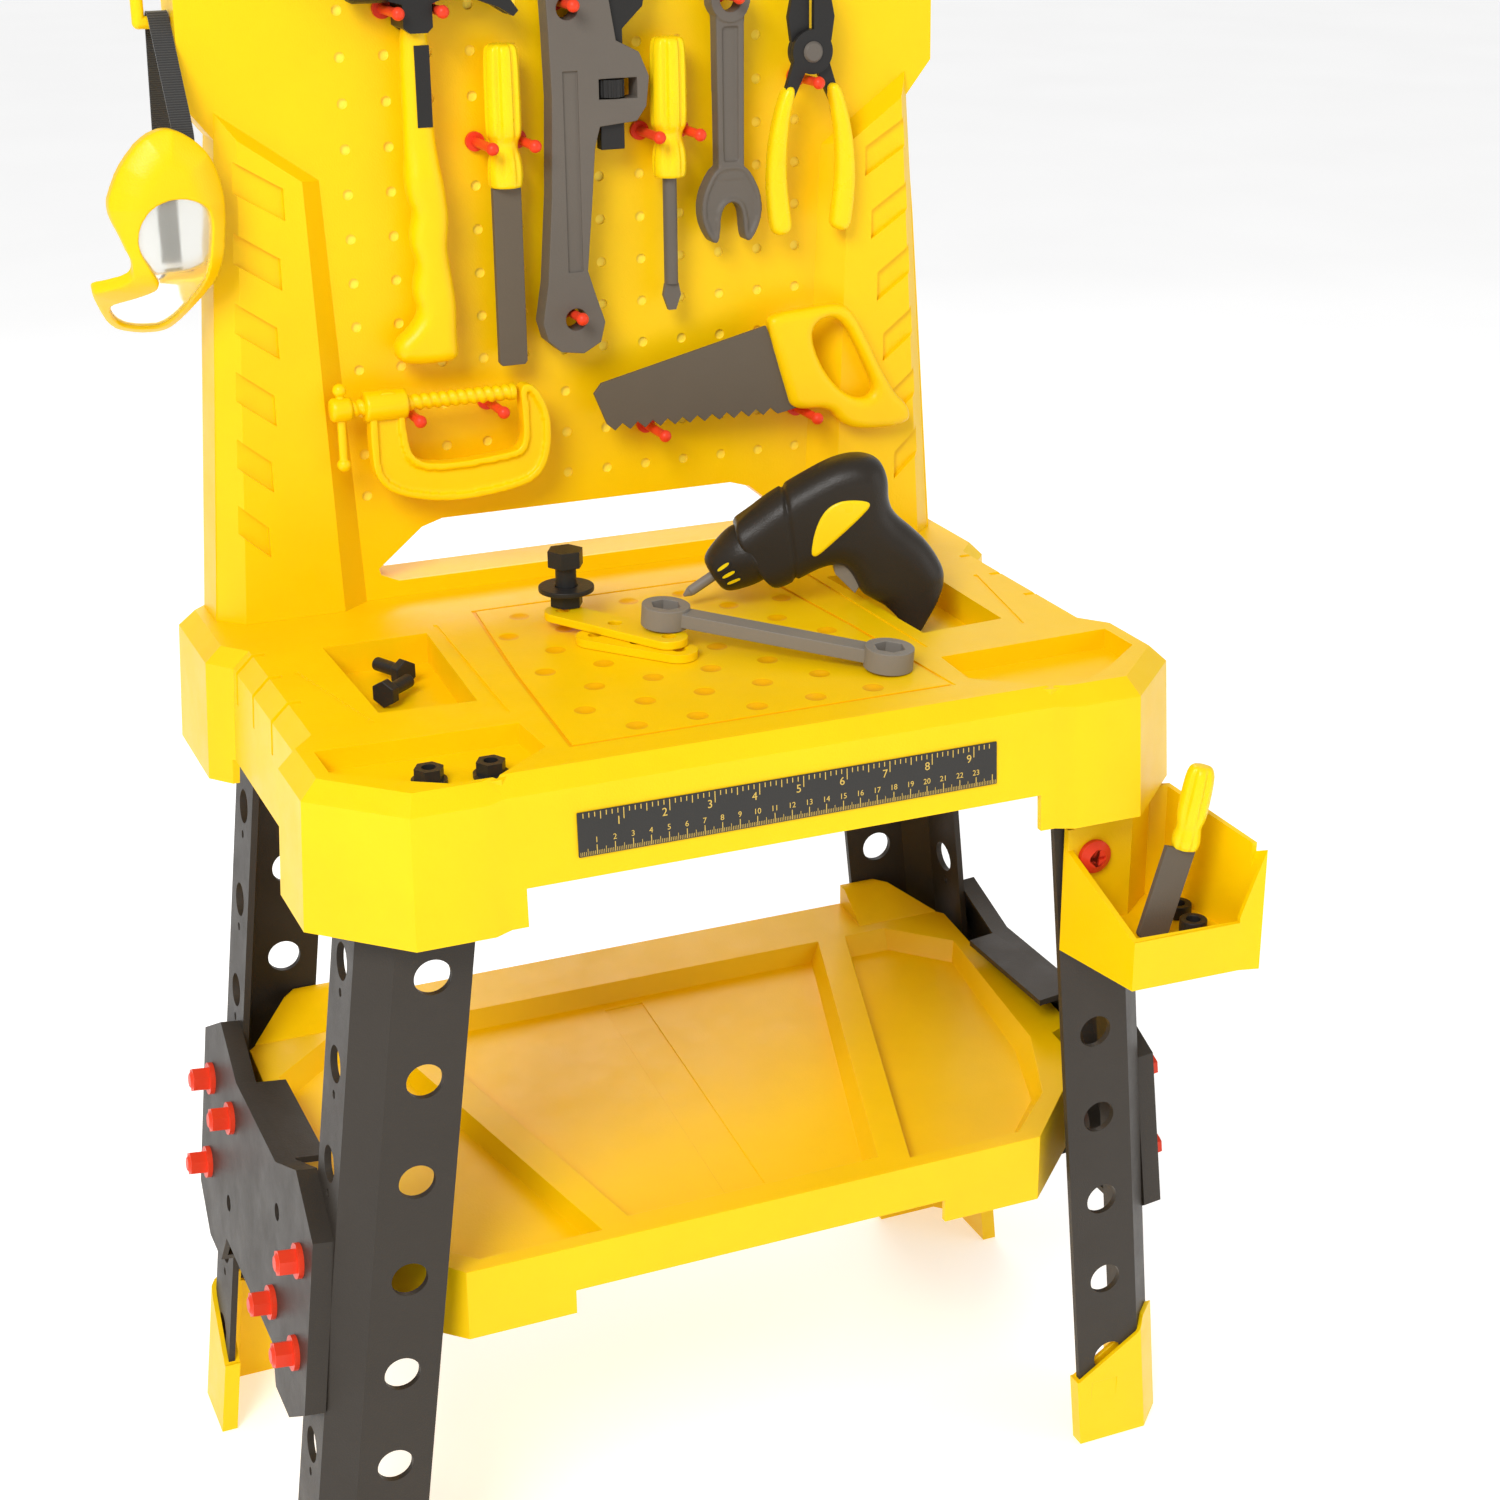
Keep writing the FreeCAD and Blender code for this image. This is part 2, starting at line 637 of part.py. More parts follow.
def bracket_bolts():
    """Flanged hexagon bolts through the brackets and the legs, six on each side."""
    sides = []
    for side in (-1, 1):
        pieces = []
        depth = side * cells.bracket_depth
        for across, up in BRACKET_BOLTS:
            outward = (side, 0, 0)
            shank = rod("bolt_shank", (-side * 6, across, up), outward, 5, cells.bracket_depth + 6)
            flange = rod("bolt_flange", (depth, across, up), outward, cells.bolt_flange_radius, 3)
            head = hexagon("bolt_head", (depth + side * 3, across, up), outward, cells.bolt_hex_radius,
                           cells.bolt_head_height - 3)
            cap = cone("bolt_cap", (depth + side * cells.bolt_head_height, across, up), outward, 6, 4, 1.5)
            pieces.append(fuse("bracket_bolt", shank, flange, head, cap))
        at, turn = bracket_place(side)
        sides.append(put(group("bolts_of_side", pieces), at, turn))
    node("bracket_bolts", group("bracket_bolts_group", sides))


# --- shelf and bin --------------------------------------------------------------------------------

SHELF_MIDDLE = [(80, 16), (146, 246), (-146, 246), (-80, 16)]
SHELF_END = [(98, 9), (172, 9), (206, 40), (228, 96), (234, 216), (196, 246), (166, 246)]


def leaned(thing):
    """Tilt a piece drawn on the shelf's own sloping rim plane into its place."""
    lean = Rotation(Vector(1, 0, 0), DIMENSIONS["shelf_lean"][0])
    return put(thing, (0, cells.shelf_front, cells.shelf_front_rim), lean)


def shelf_recess(shape):
    """Cutter for a compartment, with walls that slope in to its floor."""
    floor = flat_sketch("recess_floor", "XY", 0 - cells.shelf_recess, grown(shape, -9))
    rim = flat_sketch("recess_rim", "XY", 0, shape)
    above = flat_sketch("recess_above", "XY", 40, shape)
    return leaned(loft("shelf_recess", floor, rim, above))


def shelf_outline(wall):
    """Outline of the shelf, moved inwards by a wall."""
    wide, narrow = cells.shelf_half - wall, cells.shelf_leg_half - wall
    front, back = cells.shelf_front + wall, cells.shelf_back - wall
    return mirrored([(182, front), (narrow, front + 62), (narrow, 137), (wide, 143), (wide, 229),
                     (narrow, 235), (narrow, back - 36), (206, back)])


def lower_shelf():
    """Sloping tray between the legs, with three shallow compartments and raised rear corners."""
    wide, low, high = cells.shelf_half + 5, cells.shelf_bottom, cells.shelf_back_rim
    body = slab("shelf_block", "XY", low, high, shelf_outline(0))
    corners = [(253, 0), (280, 14), (330, 14), (330, 80), (253, 80)]
    strip = [(-13, 28), (13, 28), (13, 234), (-13, 234)]
    above = [
        leaned(slab("above_front", "YZ", -wide, wide, [(-30, 0), (254, 0), (254, 80), (-30, 80)])),
        leaned(slab("above_middle", "YZ", -181, 181, [(250, 0), (330, 0), (330, 80), (250, 80)])),
        leaned(slab("above_corners", "YZ", -wide, wide, corners)),
        leaned(slab("middle_strip", "XY", -cells.shelf_recess - 0.8, 0, strip)),
    ]
    recesses = [shelf_recess(shape) for shape in (SHELF_MIDDLE, SHELF_END, flipped(SHELF_END, -1))]
    roof = -cells.shelf_recess - cells.shelf_wall
    below = [(-30, -90), (340, -90), (340, roof), (-30, roof)]
    under = doc.addObject("Part::MultiCommon", "shelf_underside")
    under.Shapes = [
        slab("underside_plan", "XY", low - 1, high, shelf_outline(cells.shelf_wall)),
        leaned(slab("underside_roof", "YZ", -wide, wide, below)),
    ]
    notch = block("shelf_notch", -118, 118, cells.shelf_front - 2, 56, low - 1, 207)
    node("lower_shelf", cut("shelf_moulding", body, *above, *recesses, under, notch))


BIN_INSIDE = [(182, 19.3), (192, -37), (257, -39), (266.5, -41.3), (255, 36.8), (244.6, 39.2), (221, 19.3)]


def corner_bin():
    """Open bin that wraps the outer corner of the right front leg."""
    low = cells.bin_bottom
    tall = 457
    wall = Moulding("bin_moulding")
    wall.pad("XY", low, 0 * low + tall, [(178, 22.5), (189, -40), (258, -42), (270, -45), (258, 40),
                                         (243.5, 43), (219.5, 22.5)])
    wall.pocket("XY", 0 * low + tall + 1, cells.bin_floor, BIN_INSIDE)
    wall.pocket("XY", low - 1, cells.bin_floor - 3, BIN_INSIDE)
    rim = cells.bin_front_rim
    wall.pocket("YZ", 150, 257, [(-60, rim), (-39, rim), (19, rim + 34), (19, tall + 5), (-60, tall + 5)])
    wall.pocket("YZ", 170, 240, [(18, 449), (60, 449), (60, tall + 5), (18, tall + 5)])
    wall.pocket("XZ", -60, -36, [(256, rim), (270.2, rim + 45), (275, rim + 45), (275, tall + 5),
                                 (256, tall + 5)])
    wall.pocket("YZ", 254, 280, [(-60, 447), (-41, 447), (41, tall), (41, tall + 5), (-60, tall + 5)])
    wall.pocket("XZ", 10, 40, (195.8, 430.3, 4.4))
    node("corner_bin", wall.body)


def screw(name, head_radius):
    """Cross-slotted screw standing on its shank, with a domed head."""
    head = rod(name + "_head", (0, 0, 0), Z_AXIS, head_radius, 3)
    dome = cone(name + "_dome", (0, 0, 3), Z_AXIS, head_radius, head_radius * 0.55, 2.5)
    shank = rod(name + "_shank", (0, 0, -14), Z_AXIS, 4, 14)
    reach = head_radius * 0.5
    across = block(name + "_slot", -reach, reach, -1, 1, 3.4, 8)
    upright = block(name + "_slot", -1, 1, -reach, reach, 3.4, 8)
    return cut(name, fuse(name + "_solid", head, dome, shank), across, upright)


def bin_screw():
    node("bin_screw", screw("bin_screw_solid", 10), at=(195.8, 19.3, 430.3), turn=along((0, -1, 0)))


# --- back panel with its pegs and hooks -----------------------------------------------------------

def back_panel():
    front, back = cells.panel_front, cells.panel_back
    base, top = cells.deck_height, cells.panel_top
    panel = Moulding("panel_moulding")
    right = [(237, base), (221, 750), (214, 820), (231.5, 842), (230, top - 20), (214, top), (90, top)]
    panel.pad("XZ", front, back, right + [(-x, z) for x, z in reversed(right)])
    window = [(124, base + 10.3), (135, 557), (136, 561), (108, 584), (95, 588)]
    panel.pocket("XZ", front - 1, back + 1, window + [(-x, z) for x, z in reversed(window)])
    face = cells.upright_front
    for side in (-1, 1):
        wide = [(236, base), (214, 836), (157, 795), (145, base)]
        slim = [(222, base), (205, 822), (170, 797), (162, base)]
        low = panel.sketch("XZ", front, [flipped(wide, side)])
        high = panel.sketch("XZ", face, [flipped(slim, side)])
        upright = panel.body.newObject("PartDesign::AdditiveLoft", "Upright")
        upright.Profile = low
        upright.Sections = [(high, [""])]
        upright.Ruled = True
    bands = []
    for side in (-1, 1):
        for step in range(6):
            low, inner = base + 39.3 + step * cells.band_pitch, 204 - step * 4.6
            bands.append(flipped([(250, low + 42), (250, low + 60), (inner, low + 18), (inner, low)], side))
    panel.pocket("XZ", face - 1, face + cells.band_depth, *bands)
    lowest = cells.grid_top - 11 * cells.grid_pitch
    first = panel.pocket("XZ", front - 1, front + cells.grid_dimple_depth,
                         (cells.grid_first_x, lowest, cells.grid_dimple_radius))
    panel.grid(first, ("H_Axis", "V_Axis"), (12, 15), (cells.grid_pitch, cells.grid_pitch))
    node("back_panel", panel.body)


# Column and row of each peg on the panel's grid, counted from the left and from the top row.
PEG_PLACES = [(1, 0), (2, 0), (3, 3), (4, 3), (5, 0), (5, 7), (7, 3), (8, 3), (9, 0), (11, 2), (7, 10),
              (11, 10), (1, 9), (3, 9)]


def peg_at(column, row):
    return cells.grid_first_x + column * cells.grid_pitch, cells.grid_top - row * cells.grid_pitch


def tool_pegs():
    pegs = []
    out = (0, -1, 0)
    front, radius = cells.panel_front, cells.peg_stem_radius
    for column, row in PEG_PLACES:
        x, z = peg_at(column, row)
        disc = rod("peg_base", (x, front, z), out, cells.peg_base_radius, cells.peg_base_height)
        stem = rod("peg_stem", (x, front, z), out, radius, front - cells.peg_ball_y)
        root = rod("peg_root", (x, front, z), Y_AXIS, radius, cells.grid_dimple_depth)
        end = ball("peg_ball", (x, cells.peg_ball_y, z), cells.peg_ball_radius)
        pegs.append(fuse("tool_peg", disc, stem, root, end))
    node("tool_pegs", group("tool_pegs_group", pegs))


def side_hooks():
    hooks = []
    for side in (-1, 1):
        y, z, radius = cells.hook_y, cells.hook_height, cells.hook_radius
        arm = rod("hook_arm", (side * 231.5, y, z), (side, 0, 0), radius, 16.5)
        tip = rod("hook_tip", (side * 248, y, z), Z_AXIS, radius, 14)
        bend = ball("hook_bend", (side * 248, y, z), radius)
        hooks.append(fuse("side_hook", arm, tip, bend))
    node("side_hooks", group("side_hooks_group", hooks))


# --- hung tools -----------------------------------------------------------------------------------

def tool_plate(name, points, thick, middle=None):
    """Flat outline in the upright plane of the hung tools, thick across that plane."""
    middle = middle or cells.tool_y
    return slab(name, "XZ", middle - thick / 2, middle + thick / 2, points)


def peg_rest(row):
    """Height that clears the ball ends of a row of pegs."""
    return peg_at(0, row)[1] + cells.peg_ball_radius + cells.fit_gap


HANG_HOLE = 6.5
HANG_DROP = HANG_HOLE - DIMENSIONS["peg_ball_radius"][0] - DIMENSIONS["fit_gap"][0]


def hammer():
    rest = peg_rest(0)
    middle = -102.4
    poll = rod("hammer_poll", (-136, cells.tool_y, rest + 14), X_AXIS, 13.5, 20)
    face = cone("hammer_face", (-139, cells.tool_y, rest + 14), X_AXIS, 12, 13.5, 3)
    cheek = tool_plate("hammer_cheek", [
        (-118, rest + 2), (-110.9, rest), (-110.9, 879), (-107, 876), (-97, 876), (-93.9, 879),
        (-93.9, rest), (-86, rest + 3), (-88, rest + 27), (-104, rest + 30), (-118, rest + 26)], 25)
    claw = tool_plate("hammer_claw", [
        (-90, rest + 2), (-72, rest + 3), (-54, rest - 4), (-46, rest - 9), (-43, rest - 6),
        (-56, rest + 12), (-74, rest + 23), (-90, rest + 27)], 20)
    gap = [(-68, rest - 12), (-40, rest - 12), (-40, rest + 30), (-68, rest + 12)]
    split = tool_plate("claw_split", gap, 4)
    socket = tool_plate("hammer_socket", [(middle - 7, 860), (middle + 7, 860), (middle + 7, 888),
                                          (middle - 7, 888)], 13)
    solid = fuse("hammer_head_solid", poll, face, cheek, cut("hammer_claws", claw, split))
    node("hammer_head", cut("hammer_head_eye", solid, socket))
    tang = tool_plate("hammer_tang", [(middle - 7, 870), (middle + 7, 870), (middle + 7, 888),
                                      (middle - 7, 888)], 13)
    neck = tool_plate("hammer_neck", [(-109.8, 805), (-94, 805), (-93.8, 875.7), (-110.2, 875.7)], 15)
    grip = tool_plate("hammer_grip", [
        (-111, 811), (-111, 794), (-107, 780), (-106, 766), (-108.5, 754), (-106.5, 742), (-104, 727),
        (-107, 716), (-113, 708), (-122, 702), (-123.5, 694), (-117, 689), (-90, 688), (-86, 692),
        (-87, 704), (-86, 722), (-89, 742), (-91, 756), (-88.5, 770), (-90, 786), (-91, 811)], 20)
    node("hammer_handle", fuse("hammer_handle_solid", tang, neck, grip))


def rasp():
    rest = peg_rest(3)
    x, _ = peg_at(3.5, 3)
    grip = rod("rasp_grip", (x, cells.tool_y, rest + 2), Z_AXIS, 10.4, 44)
    crown = cone("rasp_crown", (x, cells.tool_y, rest + 46), Z_AXIS, 10.4, 6, 6)
    shoulder = cone("rasp_shoulder", (x, cells.tool_y, rest), Z_AXIS, 9.6, 10.4, 2)
    waist = rod("rasp_waist", (x, cells.tool_y, 806), Z_AXIS, 6.5, rest - 806)
    collar = cone("rasp_collar", (x, cells.tool_y, 786), Z_AXIS, 8.2, 10, 20)
    node("rasp_handle", fuse("rasp_handle_solid", grip, crown, shoulder, waist, collar))
    blade = tool_plate("rasp_bar", [(x - 8.6, 786), (x + 8.6, 786), (x + 8.6, 684), (x + 7, 682),
                                    (x - 7, 682), (x - 8.6, 684)], 4.5)
    node("rasp_blade", group("rasp_blade_group", [blade]))


def screwdriver():
    rest = peg_rest(3)
    x, _ = peg_at(7.5, 3)
    grip = rod("driver_grip", (x, cells.tool_y, rest + 3), Z_AXIS, 10.6, 42)
    crown = cone("driver_crown", (x, cells.tool_y, rest + 45), Z_AXIS, 10.6, 6, 6)
    shoulder = cone("driver_shoulder", (x, cells.tool_y, rest), Z_AXIS, 9.6, 10.6, 3)
    flutes = []
    for step in range(6):
        angle = math.radians(60 * step)
        at = (x + 11.6 * math.cos(angle), cells.tool_y + 11.6 * math.sin(angle), rest + 4)
        flutes.append(rod("driver_flute", at, Z_AXIS, 2.6, 60))
    waist = rod("driver_waist", (x, cells.tool_y, 803), Z_AXIS, 6.8, rest - 803)
    collar = cone("driver_collar", (x, cells.tool_y, 785), Z_AXIS, 9, 11.2, 18)
    fluted = cut("driver_fluted", fuse("driver_top", grip, crown), *flutes)
    node("screwdriver_handle", fuse("driver_solid", fluted, shoulder, waist, collar))
    shaft = rod("driver_shaft", (x, cells.tool_y, 722), Z_AXIS, 4.2, 63)
    tip = tool_plate("driver_tip", [(x - 4.2, 722), (x - 5.6, 715), (x - 2.4, 706), (x + 2.4, 706),
                                    (x + 5.6, 715), (x + 4.2, 722)], 3)
    node("screwdriver_shaft", fuse("driver_shaft_solid", shaft, tip))


def pipe_wrench():
    """Toy adjustable wrench hung by its handle's hole; its jaw slides and a knurled nut turns."""
    px, pz = peg_at(5, 7)
    body = tool_plate("wrench_bar", [
        (-25, 873), (-24, 835), (-26, 780), (-30, 729), (-34, 706), (-31, 695), (-23, 688), (-9, 686),
        (2, 692), (5, 704), (-1, 722), (-5, 735), (-1, 776), (1.5, 806), (5, 818), (28, 820), (34, 828),
        (36, 845), (30, 859), (16, 866), (12, 890), (20, 930), (8, 938), (-18, 934), (-27, 915)], 15)
    hole = rod("wrench_hole", (px, 270, pz - HANG_DROP), Y_AXIS, HANG_HOLE, 50)
    upper_hole = rod("wrench_upper_hole", (px, 270, peg_at(5, 0)[1] - HANG_DROP), Y_AXIS, HANG_HOLE, 50)
    window = block("wrench_window", 4.9, 28.4, 270, 320, 833.2, 844.8)
    mouth = tool_plate("wrench_mouth", [(6.2, 812), (21.8, 812), (21.8, 910), (6.2, 910)], 8.6)
    panel_front, panel_back = cells.tool_y - 7.5, cells.tool_y + 7.5
    relief = [block("wrench_relief", -17, -8, panel_front - 1, panel_front + 1.5, 735, 850),
              block("wrench_relief", -17, -8, panel_back - 1.5, panel_back + 1, 735, 850)]
    node("wrench_body", cut("wrench_frame", body, hole, upper_hole, window, mouth, *relief))
    jaw = tool_plate("jaw_bar", [(6.7, 804), (21.3, 804), (21.3, 820), (6.7, 820)], 8)
    upper = tool_plate("jaw_upper", [(6.7, 858), (21.3, 858), (21.3, 872), (34, 884), (40, 912), (30, 918),
                                     (24, 912), (21.3, 899), (6.7, 899)], 8)
    neck = rod("jaw_neck", (14, cells.tool_y, 819), Z_AXIS, 2.6, 40)
    node("wrench_jaw", fuse("jaw_solid", jaw, upper, neck))
    wheel = rod("knurl_wheel", (14, cells.tool_y, 834), Z_AXIS, 8.6, 10)
    bore = rod("knurl_bore", (14, cells.tool_y, 833), Z_AXIS, 2.9, 12)
    grooves = [bore]
    for step in range(18):
        angle = math.radians(20 * step)
        at = (14 + 9 * math.cos(angle), cells.tool_y + 9 * math.sin(angle), 833)
        grooves.append(rod("knurl_groove", at, Z_AXIS, 0.9, 12))
    node("wrench_knurl", cut("knurl_solid", wheel, *grooves))


def combination_wrench():
    x, z = peg_at(9, 0)
    low = z - HANG_DROP
    ring = rod("ring_outer", (x, 289, low), Y_AXIS, 12.6, 13)
    hole = rod("ring_hole", (x, 280, low), Y_AXIS, HANG_HOLE, 30)
    sides = [(x - 9, z - 14), (x + 9, z - 14), (x + 8.2, 782), (x - 8.2, 782)]
    shank = slab("wrench_shank", "XZ", 290.5, 300.5, sides)
    groove = [(x - 4.5, z - 22), (x + 4.5, z - 22), (x + 4.2, 792), (x - 4.2, 792)]
    channel = slab("wrench_channel", "XZ", 289, 292, groove)
    jaws = slab("wrench_jaws", "XZ", 289, 302, [
        (x - 8.2, 788), (x - 19.5, 771), (x - 19.5, 756), (x - 11, 743), (x - 7.5, 745), (x - 7.5, 764),
        (x, 769), (x + 7.5, 764), (x + 7.5, 745), (x + 11, 743), (x + 19.5, 756), (x + 19.5, 771),
        (x + 8.2, 788)])
    whole = fuse("combination_parts", ring, shank, jaws)
    node("combination_wrench", cut("combination_solid", whole, hole, channel))


def pliers():
    """Two crossing halves on one pin; each half has a jaw, an ear round the pin and a handle with a grip."""
    x, _ = peg_at(11, 2)
    pivot = number(peg_rest(2)) + 13
    for side, front in ((-1, 285.2), (1, 289.6)):
        name = "left" if side < 0 else "right"
        ear = rod("pliers_ear", (x, front, pivot), Y_AXIS, 13, 4)
        eye = rod("pliers_eye", (x, front - 1, pivot), Y_AXIS, 4.06, 7)
        jaw = slab("pliers_jaw", "XZ", front, front + 4, flipped([(0.6, pivot + 4), (12, pivot + 6),
                                                                 (14, pivot + 20), (9, pivot + 44),
                                                                 (0.6, pivot + 48)], -side))
        shank = [(2, pivot - 6), (12, pivot - 4), (20, pivot - 28), (23, pivot - 50), (18, pivot - 50),
                 (14, pivot - 30)]
        tang = slab("pliers_tang", "XZ", front, front + 4, flipped(shank, side))
        put(jaw, (x, 0, 0))
        put(tang, (x, 0, 0))
        node("pliers_half_" + name, cut("pliers_half", fuse("pliers_half_solid", ear, jaw, tang), eye))
        bow = flipped([(12, pivot - 26), (16, pivot - 50), (17, pivot - 74), (13, pivot - 100),
                       (15, pivot - 106), (26, pivot - 107), (28.5, pivot - 98), (29.5, pivot - 72),
                       (27, pivot - 48), (21, pivot - 22)], side)
        grip = slab("pliers_grip_bar", "XZ", 282.8, 294.4, bow)
        put(grip, (x, 0, 0))
        slot = slab("pliers_grip_slot", "XZ", front, front + 4, flipped(shank, side))
        put(slot, (x, 0, 0))
        node("pliers_grip_" + name, cut("pliers_grip_solid", grip, slot))
    pin = rod("pliers_pin_rod", (x, 285.2, pivot), Y_AXIS, 4, 8.6)
    head = cone("pliers_pin_head", (x, 285.2, pivot), (0, -1, 0), 6.5, 5, 2)
    node("pliers_pin", fuse("pliers_pin_solid", pin, head))


def saw():
    """Toothed blade in a D-shaped handle, resting on two pegs."""
    rest = peg_at(0, 10)[1] + cells.peg_ball_radius + cells.fit_gap
    tilt = math.tan(math.radians(2.5))
    teeth = []
    count = 12
    for step in range(count):
        x = 4 + 9.8 * step
        root = rest + 4.6 - (x - 4) * tilt * 0.2
        teeth += [(x, root), (x + 4.9, root - 4.3)]
    points = [(-4, 661), (1, 667), (109, 692), (122, 656), (136, 640), (121.6, rest + 0.2)]
    points += list(reversed(teeth))
    blade = slab("saw_sheet", "XZ", 286.2, 288.8, points)
    node("saw_blade", group("saw_blade_group", [blade]))
    grip = slab("saw_grip", "XZ", 281.5, 293.5, [
        (109, 692), (113, 697), (160, 700), (168, 691), (193, 643), (206, 632), (207, 622), (174, 621),
        (160, 625), (150, rest), (126, rest), (122, 650)])
    hole = slab("saw_grip_hole", "XZ", 270, 300, [
        (136, 690), (158, 696), (175, 664), (185, 641), (167, 640), (147, 659)])
    slot = slab("saw_grip_slot", "XZ", 286.2, 288.8, points)
    node("saw_handle", cut("saw_handle_solid", grip, hole, slot))


def clamp():
    """C-shaped clamp lying across two pegs by its screw, with a sliding bar through the screw's head."""
    y = cells.tool_y - 6
    level = peg_rest(9) + 5
    frame = slab("clamp_c", "XZ", y - 5, y + 5, [
        (-142, 675), (-143, 640), (-140, 624), (-129, 614), (-96, 606), (-52, 610), (-39, 618), (-33, 634),
        (-34, 655), (-43, 671), (-51, 671), (-49.5, 655), (-50, 634), (-96, 630), (-117, 633), (-122, 648),
        (-121, 675)])
    boss = rod("clamp_boss", (-144, y, level), X_AXIS, 9, 24)
    bore = rod("clamp_bore", (-150, y, level), X_AXIS, 5.08, 34)
    node("clamp_frame", cut("clamp_frame_solid", fuse("clamp_frame_parts", frame, boss), bore))
    shaft = rod("clamp_shaft", (-158, y, level), X_AXIS, 5, 105)
    head = rod("clamp_head", (-165, y, level), X_AXIS, 7, 12)
    hole = rod("clamp_cross_hole", (-159, y, level - 20), Z_AXIS, 2.56, 40)
    node("clamp_screw", cut("clamp_screw_solid", fuse("clamp_screw_parts", shaft, head), hole))
    low, high = -33, 11.3
    bar = rod("clamp_bar_rod", (-159, y, level + low), Z_AXIS, 2.5, high - low)
    ends = [ball("clamp_bar_end", (-159, y, level + reach), 4) for reach in (low, high)]
    node("clamp_bar", fuse("clamp_bar_solid", bar, *ends))


# --- goggles --------------------------------------------------------------------------------------

GOGGLE_LEFT, GOGGLE_RIGHT = -292, -226


def goggle_wrap(start, end, top, length):
    """Bent profile of the goggles between two depths behind the front of the frame."""
    steep, flat = 0.849, -0.529
    bend_start, bend_end = 757 + 0.555 * start, 757 + 0.555 * end
    front = [(270 + start, top), (270 + start, bend_start),
             (270 + start + steep * length, bend_start + flat * length)]
    depth = end - start
    far = (front[2][0] - flat * depth, front[2][1] + steep * depth)
    return front + [far, (270 + end, bend_end), (270 + end, top)]


def ribbon(path, thickness):
    """Outline of a thin band along a path, on the left of its direction."""
    offset = []
    for index, (a, b) in enumerate(path):
        before, after = path[max(index - 1, 0)], path[min(index + 1, len(path) - 1)]
        along_a, along_b = after[0] - before[0], after[1] - before[1]
        reach = math.hypot(along_a, along_b)
        offset.append((a - along_b / reach * thickness, b + along_a / reach * thickness))
    return path + offset[::-1]


def goggles():
    """Wrap-round goggles hung sideways from the left hook by their strap."""
    shell = slab("goggle_shell", "YZ", GOGGLE_LEFT, GOGGLE_RIGHT, goggle_wrap(0, 20, 832, 72))
    cup = slab("goggle_cup", "YZ", GOGGLE_LEFT + 4, GOGGLE_RIGHT - 4, goggle_wrap(4, 25, 827, 66))
    window = slab("goggle_window", "YZ", GOGGLE_LEFT + 8, GOGGLE_RIGHT - 8, goggle_wrap(-2, 6, 822, 58))
    node("goggle_frame", cut("goggle_frame_solid", shell, cup, window))
    lens = slab("goggle_pane", "YZ", GOGGLE_LEFT + 8, GOGGLE_RIGHT - 8, goggle_wrap(1, 3, 821, 56))
    node("goggle_lens", group("goggle_lens_group", [lens]))
    path = [(281, 832.3), (320.6, 886.5), (325, 889), (329, 886.4), (344, 741)]
    strap = slab("goggle_band", "YZ", -243.5, -232, ribbon(path, 1.6))
    node("goggle_strap", group("goggle_strap_group", [strap]))


# --- toy drill ------------------------------------------------------------------------------------

DRILL_NOSE = (-0.83, 0, -0.56)
DRILL_SHELL = [
    (-40.9, 592.2), (-34, 597.5), (-22, 606), (-13, 609), (2, 619), (20, 630), (37, 633), (49, 628),
    (53.5, 618), (53, 605), (56, 598), (68, 589), (80, 577), (88, 561), (88, 553), (81, 542),
    (79.5, 524), (66, 524), (63, 535), (46, 546), (29, 558), (19, 567), (11, 568), (-4, 557), (-16, 551.5), (-19.6, 560.7)]
DRILL_TRIGGER = [(21, 570), (22.5, 562), (34.5, 549.5), (38, 555), (35, 565), (28, 571)]
DRILL_TRIGGER_ROOM = [(19, 573), (20.8, 560), (34.5, 546.6), (41, 553), (42, 561), (38, 572), (31, 577),
                      (24, 577)]
DRILL_INLAY = [(7, 573), (9, 588), (14, 602), (23, 608), (38, 607), (45, 604), (38, 597), (23, 585),
               (9, 571)]


